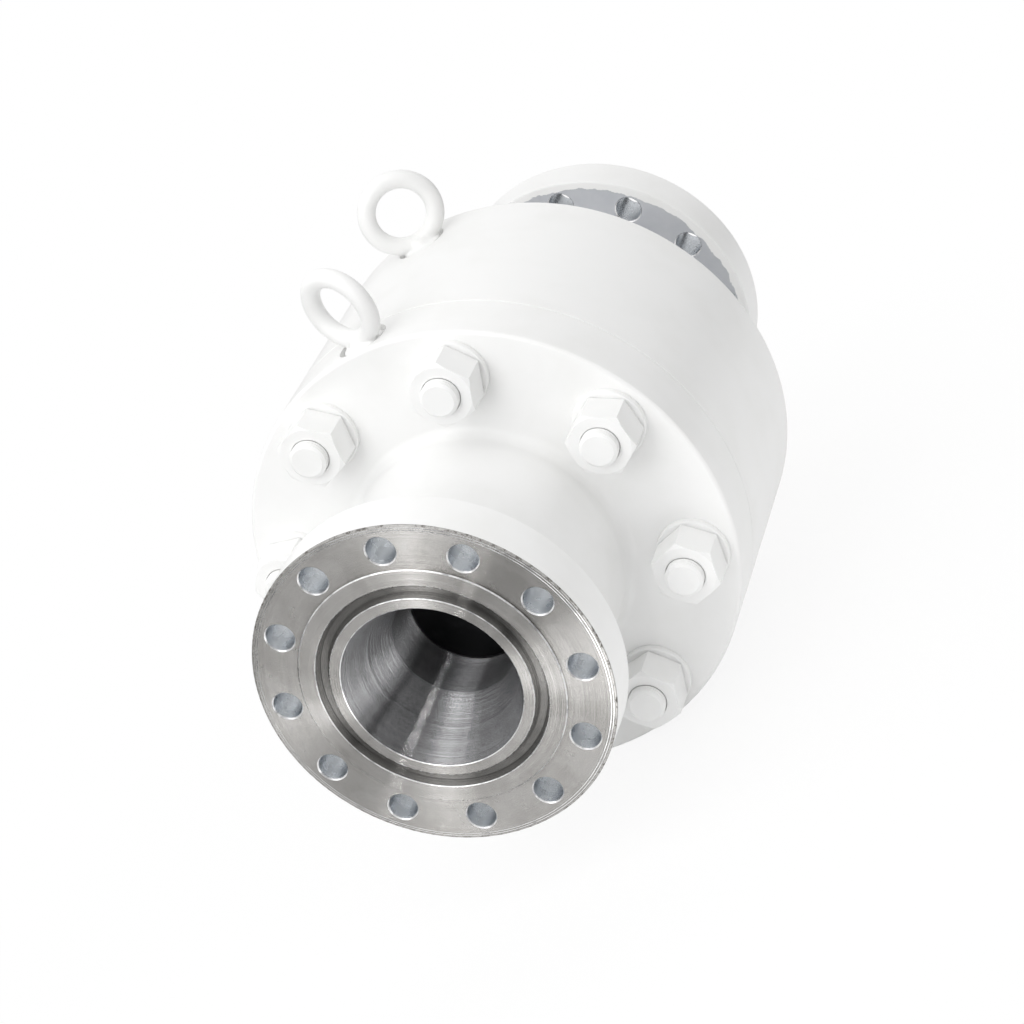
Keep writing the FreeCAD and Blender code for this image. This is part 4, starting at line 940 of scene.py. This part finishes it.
def turn_groove(piece, face, inward):
    """The ring-joint groove, its walls coloured darker as painted shade and its burnished rims
    coloured brighter as a painted highlight, from its inner to its outer edge.
    """
    flange = settings().flange
    middle = flange.groove_diameter / 2
    mouth = flange.groove_width / 2
    chamfer = flange.edge_chamfer
    lean = math.tan(flange.groove_angle)
    lip = face + inward * chamfer
    lip_mouth = mouth - chamfer * lean
    floor = mouth - flange.groove_depth * lean
    bottom = face + inward * flange.groove_depth
    corner = flange.groove_corner
    piece.turn("burnished edge", [(face, middle - mouth - chamfer), (lip, middle - lip_mouth)])
    piece.turn("groove steel", [(lip, middle - lip_mouth), (bottom, middle - floor, corner),
                                (bottom, middle + floor, corner), (lip, middle + lip_mouth)])
    piece.turn("burnished edge", [(lip, middle + lip_mouth), (face, middle + mouth + chamfer)])


def turn_flange_face(piece, face, inward):
    """The mouth, groove, raised face and outer face of an end flange."""
    flange = settings().flange
    middle = flange.groove_diameter / 2
    mouth = flange.groove_width / 2
    chamfer = flange.edge_chamfer
    raised = flange.raised_diameter / 2
    bore = flange.mouth / 2
    step = face + inward * flange.raised_height
    lip_place = face + inward * flange.mouth_lip
    lip = (face + inward * chamfer, bore - flange.mouth_draft)
    piece.turn("bore steel", [(lip_place, bore - flange.mouth_drop), lip])
    piece.turn("burnished edge", [lip, (face, bore + chamfer)])
    piece.turn("turned face", [(face, bore + chamfer), (face, middle - mouth - chamfer)])
    turn_groove(piece, face, inward)
    shoulder = (face + inward * flange.raised_chamfer, raised)
    rounding = (face, raised - flange.raised_chamfer)
    piece.turn("turned face", [(face, middle + mouth + chamfer), rounding])
    piece.turn("burnished edge", [rounding, shoulder])
    piece.turn("turned face", [shoulder, (step, raised)])
    place = (step, raised)
    for inset in (flange.step_inset + flange.step_pitch, flange.step_inset):
        radius = flange.diameter / 2 - inset
        slope_end = (place[0] + inward * flange.step_depth, radius + flange.step_width)
        piece.turn("flange land", [place, (place[0], radius)])
        piece.turn("burnished edge", [(place[0], radius), slope_end])
        place = slope_end
    piece.turn("flange land", [place, (place[0], flange.diameter / 2 - flange.edge_round)])


def turn_rim(piece, face, inward):
    """The painted rim of an end flange, with its chipped front edge and bare back."""
    flange = settings().flange
    neck = settings().body.neck_diameter / 2
    fillet = settings().body.neck_fillet
    edge = flange.edge_round
    radius = flange.diameter / 2
    step = face + inward * flange.raised_height
    shallow = step + inward * flange.step_depth * 2
    back = step + inward * flange.thickness
    chipped = [(shallow + inward * edge * along, radius - edge * inset)
               for along, inset in CHIPPED_EDGE]
    lap = (back, radius - flange.paint_lap)
    piece.turn("chipped edge", chipped)
    piece.turn("rim paint", [chipped[-1], (back, radius, edge), lap])
    piece.turn("flange back", [lap, (back, neck + fillet)])
    piece.turn("white paint", [(back, neck + fillet), (back, neck, fillet),
                               (back + inward * fillet * 2, neck)])


def flange_hole_cutter(front, back, finishes):
    """The twelve bolt holes of a flange, with chamfered mouths."""
    flange = settings().flange
    radius = flange.bolt_hole / 2
    chamfer = flange.bolt_chamfer
    cutter = Workpiece("bolt holes", finishes)
    for angle in spaced_turns(flange.bolt_count):
        axis = beside_axis(flange.bolt_circle, angle)
        wide = radius + chamfer + OVERRUN
        cutter.turn("burnished edge", [(front - OVERRUN, 0.0), (front - OVERRUN, wide),
                                       (front + chamfer, radius)], axis, SMALL_STEPS)
        cutter.turn("drilled steel", [(front + chamfer, radius), (back - chamfer, radius)],
                    axis, SMALL_STEPS)
        cutter.turn("burnished edge", [(back - chamfer, radius), (back + OVERRUN, wide),
                                       (back + OVERRUN, 0.0)], axis, SMALL_STEPS)
    cutter.seal()
    return cutter


def eye_seat_cutter(place, finishes):
    """The spot face and the shank hole of a lifting eye."""
    eye = settings().eye
    axis = Matrix.Translation((place, 0.0, eye.floor_height)) @ FLOW_TO_UP
    shank = eye.shank_diameter / 2 + eye.hole_gap
    deep = -eye.shank_length - eye.hole_depth
    recess = eye.recess_diameter / 2
    outline = [(deep, 0.0), (deep, shank), (0.0, shank), (0.0, recess, eye.recess_round),
               (eye.recess_cut, recess), (eye.recess_cut, 0.0)]
    cutter = Workpiece("eye seat", finishes)
    cutter.turn("white paint", outline, axis, MIDDLE_STEPS)
    cutter.seal()
    return cutter


class OBJECT_OT_valve_closure(bpy.types.Operator):
    """Turn the inlet flange, the throat and the bolted closure from one forging"""

    bl_idname = "object.valve_closure"
    bl_label = "Inlet Closure"

    def execute(self, context):
        flange = settings().flange
        body = settings().body
        trim = settings().trim
        neck = body.neck_diameter / 2
        hub = body.hub_diameter / 2
        drum = body.drum_diameter / 2
        chamfer = body.seam_chamfer
        back = flange.raised_height + flange.thickness
        piece = Workpiece("inlet_closure_forging")
        turn_flange_face(piece, 0.0, 1)
        turn_rim(piece, 0.0, 1)
        piece.turn("white paint", [
            (back + body.neck_fillet * 2, neck),
            (back + body.neck_length, neck, body.neck_blend),
            (body.closure_face - body.hub_land, hub, body.neck_blend),
            (body.closure_face, hub, body.hub_fillet),
            (body.closure_face, drum, body.drum_round),
            (body.seam - chamfer, drum, chamfer / 2),
            (body.seam, drum - chamfer)])
        seat_body = trim.seat_body_radius + trim.seat_fit
        seat_flange = trim.seat_flange_radius + trim.seat_gap
        piece.turn("trim steel", [
            (body.seam, drum - chamfer), (body.seam, body.spigot_radius),
            (body.spigot_end, body.spigot_radius), (body.spigot_end, body.passage_radius),
            (body.seam, body.passage_radius), (trim.seat_back, body.seat_cavity),
            (trim.seat_back, seat_flange), (trim.seat_step, seat_flange),
            (trim.seat_step, seat_body), (trim.seat_front, seat_body),
            (trim.seat_front, body.throat / 2)])
        cone_start = body.cone_length - body.cone_edge
        piece.turn("throat steel", [(trim.seat_front, body.throat / 2),
                                    (body.cone_length, body.throat / 2)])
        piece.turn("bore steel", [
            (body.cone_length, body.throat / 2), (cone_start, body.throat / 2 + body.cone_step),
            (flange.mouth_lip, flange.mouth / 2 - flange.mouth_drop)])
        piece.seal()
        piece.combine(flange_hole_cutter(flange.raised_height, back, piece.finishes))
        piece.combine(eye_seat_cutter(settings().eye.front_place, piece.finishes))
        piece.fit("root", "white_paint", "inlet_closure")
        return {"FINISHED"}


class OBJECT_OT_valve_body(bpy.types.Operator):
    """Turn the drum, the outlet neck and the outlet flange from one forging"""

    bl_idname = "object.valve_body"
    bl_label = "Main Body"

    def execute(self, context):
        flange = settings().flange
        body = settings().body
        neck = body.neck_diameter / 2
        hub = body.hub_diameter / 2
        drum = body.drum_diameter / 2
        chamfer = body.seam_chamfer
        outlet = body.overall_length
        step = outlet - flange.raised_height
        front = step - flange.thickness
        counterbore = body.spigot_radius + body.spigot_gap
        gasket_floor = body.spigot_end + body.gasket_room
        mouth = flange.mouth / 2
        lip = mouth - flange.mouth_drop
        lip_end = outlet - body.outlet_lip
        piece = Workpiece("main_body_forging")
        piece.turn("white paint", [
            (body.seam, drum - chamfer), (body.seam + chamfer, drum, chamfer / 2),
            (body.drum_back, drum, body.drum_round),
            (body.drum_back, hub, body.hub_fillet),
            (body.drum_back + body.hub_land, hub, body.neck_blend),
            (front - body.neck_length, neck, body.neck_blend),
            (front - body.neck_fillet * 2, neck)])
        turn_rim(piece, outlet, -1)
        turn_flange_face(piece, outlet, -1)
        piece.turn("bore steel", [
            (outlet - flange.mouth_lip, lip), (lip_end, lip, body.outlet_lip),
            (lip_end - body.lip_ease, mouth, body.outlet_lip),
            (outlet - body.outlet_bore, mouth, body.cone_round),
            (body.passage_end, body.passage_radius, body.cone_round),
            (body.guide_shoulder, body.passage_radius)])
        piece.turn("trim steel", [
            (body.guide_shoulder, body.passage_radius), (body.guide_shoulder, body.guide_bore),
            (gasket_floor, body.guide_bore), (gasket_floor, counterbore),
            (body.seam, counterbore), (body.seam, drum - chamfer)])
        piece.seal()
        piece.combine(flange_hole_cutter(front, step, piece.finishes))
        piece.combine(eye_seat_cutter(settings().eye.rear_place, piece.finishes))
        piece.fit("root", "white_paint", "main_body")
        return {"FINISHED"}


def turn_stud(piece, axis):
    """One stud, with thread rings on the end that stands proud of its nut."""
    sizes = settings().fastener
    radius = sizes.stud_diameter / 2
    nut_front = settings().body.closure_face - sizes.washer_thickness - sizes.nut_height
    outline = [(sizes.stud_front, 0.0),
               (sizes.stud_front, radius - sizes.stud_chamfer, sizes.end_round)]
    crest = sizes.stud_front + sizes.thread_start
    while crest < nut_front + sizes.thread_pitch:
        root = crest + sizes.thread_pitch / 2
        outline.append((crest, radius, sizes.thread_round))
        outline.append((root, radius - sizes.thread_depth, sizes.thread_round))
        crest += sizes.thread_pitch
    outline += [(crest, radius), (sizes.stud_back - sizes.stud_chamfer, radius),
                (sizes.stud_back, radius - sizes.stud_chamfer), (sizes.stud_back, 0.0)]
    piece.turn("white paint", outline, axis, SMALL_STEPS)


def chamfered_nut(axis, turn):
    """One hexagon nut, its corners turned off at 30 degrees and softened by paint."""
    sizes = settings().fastener
    flats = sizes.nut_flats / 2
    corner = flats / math.cos(NUT_CORNER)
    back = settings().body.closure_face - sizes.washer_thickness
    front = back - sizes.nut_height
    bore = sizes.stud_diameter / 2 + sizes.nut_gap
    nut = Workpiece("nut")
    place = Matrix.Translation(((front + back) / 2, 0.0, 0.0)) @ Matrix.Rotation(turn, 4, "X")
    bmesh.ops.create_cone(nut.work, cap_ends=True, segments=6, radius1=corner, radius2=corner,
                          depth=sizes.nut_height, matrix=axis @ place @ UP_TO_FLOW)
    nut.finish_index("white paint")
    wide = corner + OVERRUN
    rise = (wide - flats) * math.tan(NUT_CORNER)
    chamfer = sizes.nut_chamfer
    envelope = Workpiece("nut envelope", nut.finishes)
    lift = back - sizes.bearing_height
    bearing = flats - sizes.bearing_inset
    envelope.turn("white paint", [
        (back + OVERRUN, bore), (back + OVERRUN, bearing), (lift, bearing),
        (lift - sizes.bearing_inset, wide), (front + rise, wide), (front, flats),
        (front, bore + chamfer), (front + chamfer, bore), (back + OVERRUN, bore)],
        axis, MIDDLE_STEPS)
    envelope.seal()
    nut.combine(envelope, "INTERSECT")
    nut.shape(("BEVEL", {"width": sizes.nut_softness, "segments": 2, "profile": 0.5,
                         "limit_method": "ANGLE", "angle_limit": NUT_EDGE}))
    return nut


class OBJECT_OT_valve_fasteners(bpy.types.Operator):
    """Make the closure studs, their nuts and the washers under them"""

    bl_idname = "object.valve_fasteners"
    bl_label = "Studs, Nuts and Washers"

    def execute(self, context):
        sizes = settings().fastener
        face = settings().body.closure_face
        studs = Workpiece("closure_stud_set")
        nuts = Workpiece("closure_nut_set")
        washers = Workpiece("closure_washer_set")
        bore = sizes.stud_diameter / 2 + sizes.washer_gap
        front = face - sizes.washer_thickness
        outside = sizes.washer_diameter / 2
        for index, angle in enumerate(spaced_turns(sizes.count)):
            axis = beside_axis(sizes.circle, angle)
            turn_stud(studs, axis)
            washers.turn("white paint", [
                (face, bore), (front, bore), (front, outside, sizes.washer_round),
                (face, outside, sizes.end_round), (face, bore)], axis, MIDDLE_STEPS)
            nut = chamfered_nut(axis, sizes.nut_turns[index % len(sizes.nut_turns)])
            nuts.finishes = nut.finishes
            nuts.add(nut)
        studs.seal()
        washers.seal()
        studs.fit("root", "painted_fasteners", "closure_studs")
        nuts.fit("root", "painted_fasteners", "closure_nuts")
        washers.fit("root", "painted_fasteners", "closure_washers")
        return {"FINISHED"}


def forge_eye(name, place, turn, node):
    """One lifting eye: ring, neck, collar and shank blended as a forging."""
    eye = settings().eye
    stand = Matrix.Translation((place, 0.0, eye.floor_height)) @ Matrix.Rotation(turn, 4, "Z")
    piece = Workpiece(name)
    shank = eye.shank_diameter / 2
    collar = eye.collar_diameter / 2
    neck = eye.neck_diameter / 2
    neck_top = eye.ring_lift - eye.ring_radius + eye.section_radius / 2
    piece.turn("white paint", [
        (-eye.shank_length, 0.0), (-eye.shank_length, shank - eye.collar_round),
        (eye.collar_round - eye.shank_length, shank), (0.0, shank), (0.0, collar),
        (eye.collar_height, collar, eye.collar_round),
        (eye.collar_height + eye.neck_flare / 4, neck + eye.neck_flare, eye.neck_flare),
        (neck_top, neck), (neck_top, 0.0)], stand @ FLOW_TO_UP, MIDDLE_STEPS)
    known = piece.parts()
    ring = stand @ Matrix.Translation((0.0, 0.0, eye.ring_lift))
    section = ring @ Matrix.Translation((0.0, 0.0, eye.ring_radius)) @ UP_TO_FLOW
    bmesh.ops.create_circle(piece.work, segments=SECTION_STEPS, radius=eye.section_radius,
                            matrix=section)
    piece.spin_new(known, ring.translation, ring.to_3x3() @ Vector((0, 1, 0)), MIDDLE_STEPS)
    piece.seal()
    piece.shape(("REMESH", {"mode": "VOXEL", "voxel_size": VOXEL_SIZE}),
                ("SMOOTH", {"factor": 0.5, "iterations": SMOOTH_PASSES}))
    piece.fit("root", "white_paint", node)


class OBJECT_OT_valve_eyes(bpy.types.Operator):
    """Forge the two lifting eyes and set them in their spot faces"""

    bl_idname = "object.valve_eyes"
    bl_label = "Lifting Eyes"

    def execute(self, context):
        eye = settings().eye
        forge_eye("lifting_eye_front_forging", eye.front_place, eye.front_turn,
                  "lifting_eye_front")
        forge_eye("lifting_eye_rear_forging", eye.rear_place, eye.rear_turn,
                  "lifting_eye_rear")
        return {"FINISHED"}


class OBJECT_OT_valve_seat(bpy.types.Operator):
    """Turn the seat ring with its cone and the groove for the soft insert"""

    bl_idname = "object.valve_seat"
    bl_label = "Seat Ring"

    def execute(self, context):
        trim = settings().trim
        throat = settings().body.throat / 2
        insert_front = trim.seat_back - trim.insert_depth
        insert_inner = throat + insert_front - trim.seat_cone
        piece = Workpiece("seat_ring_turning")
        piece.turn("throat steel", [(trim.seat_front, throat), (trim.seat_cone, throat),
                                    (insert_front, insert_inner)])
        piece.turn("trim steel", [
            (insert_front, insert_inner), (insert_front, trim.insert_radius),
            (trim.seat_back, trim.insert_radius),
            (trim.seat_back, trim.seat_flange_radius, trim.seat_round),
            (trim.seat_step, trim.seat_flange_radius),
            (trim.seat_step, trim.seat_body_radius),
            (trim.seat_front, trim.seat_body_radius), (trim.seat_front, throat)])
        piece.seal()
        piece.fit("root", "machined_steel", "seat_ring")
        return {"FINISHED"}


class OBJECT_OT_valve_disc(bpy.types.Operator):
    """Turn the closing disc with its domed nose, seating cone and hub"""

    bl_idname = "object.valve_disc"
    bl_label = "Check Disc"

    def execute(self, context):
        trim = settings().trim
        rim = trim.disc_rim_radius
        throat = settings().body.throat / 2
        cone_shift = trim.seat_cone + trim.seat_gap * math.sqrt(2) - throat
        cone = trim.disc_cone_radius
        recess = trim.recess_radius
        edge = trim.edge_round
        bore = trim.stem_radius
        piece = Workpiece("check_disc_turning")
        # The disc's finish is nearly black as painted shade deep in the bore.
        piece.turn("dark disc", [
            (trim.disc_nose, 0.0), (trim.disc_nose, cone / 2, trim.dome_round),
            (cone_shift + cone, cone, edge), (cone_shift + rim, rim, edge),
            (trim.disc_back, rim, edge), (trim.disc_back, recess, edge),
            (trim.disc_recess, recess - edge * 2, edge * 2),
            (trim.disc_recess, trim.hub_radius, edge),
            (trim.hub_back, trim.hub_radius, edge / 2), (trim.hub_back, bore),
            (trim.stem_front, bore), (trim.stem_front, 0.0)])
        piece.seal()
        piece.fit("disc", "dark_disc", "check_disc")
        return {"FINISHED"}


class OBJECT_OT_valve_spring(bpy.types.Operator):
    """Wind the closing spring"""

    bl_idname = "object.valve_spring"
    bl_label = "Closing Spring"

    def execute(self, context):
        trim = settings().trim
        wire = trim.wire_radius
        first = spring_box[0][0] + wire
        last = spring_box[1][0] - wire
        steps = round(SMALL_STEPS * trim.coil_turns)
        piece = Workpiece("closing_spring_wire")
        place = Matrix.Translation((first, 0.0, trim.coil_radius)) @ Matrix.Rotation(
            math.radians(90), 4, "X")
        bmesh.ops.create_circle(piece.work, cap_ends=True, segments=WIRE_STEPS, radius=wire,
                                matrix=place)
        bmesh.ops.spin(piece.work, geom=piece.work.faces[:], cent=(first, 0.0, 0.0),
                       axis=(1, 0, 0), dvec=((last - first) / steps, 0.0, 0.0),
                       angle=math.tau * trim.coil_turns, steps=steps, use_duplicate=False)
        piece.finish_index("spring steel")
        piece.seal()
        spring = piece.fit("root", "spring_steel", "closing_spring")
        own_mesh(spring)
        return {"FINISHED"}


class OBJECT_OT_valve_tail(bpy.types.Operator):
    """Turn the streamlined tail cone behind the flow guide"""

    bl_idname = "object.valve_tail"
    bl_label = "Tail Cone"

    def execute(self, context):
        trim = settings().trim
        base = trim.tail_base_radius
        length = trim.tail_tip - trim.tail_base
        piece = Workpiece("tail_cone_turning")
        curve = [(trim.tail_base + length * along, base * out, rounding)
                 for along, out, rounding in TAIL_CURVE]
        piece.turn("guide casting", [
            (trim.tail_base, base), *curve,
            (trim.tail_tip, trim.tail_tip_radius, trim.tail_tip_round), (trim.tail_tip, 0.0)])
        piece.turn("trim steel", [
            (trim.tail_base, base), (trim.tail_base, trim.tail_joint_radius),
            (trim.tail_front, trim.tail_joint_radius), (trim.tail_front, trim.tail_bore),
            (trim.tail_bore_end, trim.tail_bore, trim.tail_bore_round),
            (trim.tail_bore_end, 0.0)])
        piece.seal()
        piece.fit("root", "guide_casting", "tail_cone")
        return {"FINISHED"}


INNER_FINISHES = {
    "body_gasket": "wound gasket",
    "body_o_ring": "seal rubber",
    "seat_insert": "polymer",
    "seat_o_ring": "seal rubber",
    "seat_ring_screws": "trim steel",
    "disc_stem": "stem steel",
    "disc_lock_pin": "stem steel",
    "spring_plate": "trim steel",
    "guide_body": "guide casting",
    "stop_ring": "polymer",
    "front_guide_bush": "bronze",
    "rear_guide_bush": "bronze",
    "bush_retaining_ring": "spring steel",
    "tail_cone_lock_screw": "trim steel",
    "guide_body_dowel": "trim steel",
}


class OBJECT_OT_valve_inner_finishes(bpy.types.Operator):
    """Give the inner pieces, whose plain shape is right, their metal and seal finishes"""

    bl_idname = "object.valve_inner_finishes"
    bl_label = "Inner Piece Finishes"

    def execute(self, context):
        for node, finish in INNER_FINISHES.items():
            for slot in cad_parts[node].material_slots:
                slot.material = finish_named(finish)
        return {"FINISHED"}


def floor_material():
    """Pale paper under the object, which keeps a faint shadow, on a darker studio floor."""
    stage = settings().stage
    floor = Finish("studio floor", roughness=0.9)
    floor.shader.inputs["Specular IOR Level"].default_value = 0.0
    away = floor.vector("DISTANCE", floor.place, stage.aim).outputs["Value"]

    def level(reach, near, far):
        return floor.spread(away, reach, reach * FADE_REACH, near, far)

    floor.feed(floor.shader.inputs["Base Color"],
               level(stage.paper_radius, stage.paper_white, stage.studio_floor))
    in_metal = floor.math("MULTIPLY", floor.add("ShaderNodeLightPath").outputs["Is Glossy Ray"],
                          level(stage.paper_radius, 1.0, 0.0))
    white = level(stage.shadow_reach, stage.floor_white, 1.0)
    share = floor.math("MULTIPLY_ADD", floor.backdrop_mask(), white, in_metal)
    glow = floor.add("ShaderNodeEmission").outputs[0]
    mix = floor.add("ShaderNodeMixShader", {0: share, 1: floor.shader.outputs[0], 2: glow})
    floor.feed(floor.nodes["Material Output"].inputs["Surface"], mix.outputs[0])
    return floor.material


def light_world():
    """Daylight with a dark end behind the camera, white where it is seen."""
    stage = settings().stage
    world = bpy.data.worlds.new("studio")
    bpy.context.scene.world = world
    graph = NodeGraph(world)
    background = graph.nodes["Background"]
    background.inputs["Color"].default_value = (1.0, 1.0, 1.0, 1.0)
    direction = graph.add("ShaderNodeTexCoord").outputs["Generated"]
    dark_side = Vector(stage.dark_side).normalized()
    towards = graph.vector("DOT_PRODUCT", direction, dark_side).outputs["Value"]
    sky = graph.spread(towards, math.cos(stage.dark_reach), math.cos(stage.dark_core),
                       stage.daylight, stage.daylight * stage.dark_share)
    graph.feed(background.inputs["Strength"], graph.mixed(graph.backdrop_mask(), sky, 1.0))


def hang_lamp(name, power, place, size, aim):
    """A rectangular soft lamp that no camera sees, turned towards its aim or the valve."""
    data = bpy.data.lights.new(name, "AREA")
    data.shape = "RECTANGLE"
    data.size, data.size_y = size
    data.energy = power
    lamp = bpy.data.objects.new(name, data)
    bpy.context.scene.collection.objects.link(lamp)
    turn = (Vector(aim or settings().stage.aim) - Vector(place)).to_track_quat("-Z", "Y")
    lamp.matrix_world = Matrix.Translation(place) @ turn.to_matrix().to_4x4()
    lamp.visible_camera = False


def place_camera():
    """The camera, leaning as in the photograph."""
    stage = settings().stage
    data = bpy.data.cameras.new("camera")
    data.lens = stage.camera_lens
    camera = bpy.data.objects.new("camera", data)
    bpy.context.scene.collection.objects.link(camera)
    place = Vector(stage.camera_place)
    look = (Vector(stage.camera_aim) - place).to_track_quat("-Z", "Y").to_matrix().to_4x4()
    lean = Matrix.Rotation(-stage.camera_roll, 4, "Z")
    camera.matrix_world = Matrix.Translation(place) @ look @ lean
    bpy.context.scene.camera = camera


class SCENE_OT_valve_stage(bpy.types.Operator):
    """Set out the floor, the soft light and the camera"""

    bl_idname = "scene.valve_stage"
    bl_label = "Studio Stage"

    def execute(self, context):
        stage = settings().stage
        floor = bpy.data.meshes.new("studio_floor")
        work = bmesh.new()
        height = Matrix.Translation((0.0, 0.0, cad_box[0][2] - FLOOR_GAP))
        bmesh.ops.create_grid(work, x_segments=1, y_segments=1, size=stage.floor_size / 2,
                              matrix=height)
        work.to_mesh(floor)
        work.free()
        floor.materials.append(floor_material())
        ground = bpy.data.objects.new("studio_floor", floor)
        context.scene.collection.objects.link(ground)
        light_world()
        for lamp, (place, size, aim) in LAMPS.items():
            hang_lamp(lamp.replace("_", " "), getattr(stage, lamp), place, size, aim)
        place_camera()
        context.scene.view_settings.view_transform = "Standard"
        return {"FINISHED"}


PIECE_OPERATORS = (
    OBJECT_OT_valve_closure,
    OBJECT_OT_valve_body,
    OBJECT_OT_valve_fasteners,
    OBJECT_OT_valve_eyes,
    OBJECT_OT_valve_seat,
    OBJECT_OT_valve_disc,
    OBJECT_OT_valve_spring,
    OBJECT_OT_valve_tail,
    OBJECT_OT_valve_inner_finishes,
    SCENE_OT_valve_stage,
)


class VIEW3D_PT_valve(bpy.types.Panel):
    """The sidebar tab with the valve's sizes, colours and operators"""

    bl_idname = "VIEW3D_PT_valve"
    bl_label = "Non-return Valve"
    bl_space_type = "VIEW_3D"
    bl_region_type = "UI"
    bl_category = "Valve"

    def draw(self, context):
        layout = self.layout
        valve = context.scene.valve
        for operator in PIECE_OPERATORS:
            layout.operator(operator.bl_idname)
        for group in ("flange", "body", "fastener", "eye", "trim", "colour", "stage"):
            box = layout.box()
            box.label(text=group.title())
            values = getattr(valve, group)
            for name in type(values).__annotations__:
                box.prop(values, name)


CLASSES = (
    FlangeSizes,
    BodySizes,
    FastenerSizes,
    EyeSizes,
    TrimSizes,
    FinishColours,
    StageSettings,
    ValveSettings,
    *PIECE_OPERATORS,
    VIEW3D_PT_valve,
)


def register():
    for item in CLASSES:
        bpy.utils.register_class(item)
    bpy.types.Scene.valve = PointerProperty(type=ValveSettings)


def unregister():
    del bpy.types.Scene.valve
    for item in reversed(CLASSES):
        bpy.utils.unregister_class(item)


def main():
    """Build the whole valve and its stage."""
    register()
    for operator in PIECE_OPERATORS:
        group, name = operator.bl_idname.split(".")
        getattr(getattr(bpy.ops, group), name)()


if __name__ == "__main__":
    main()
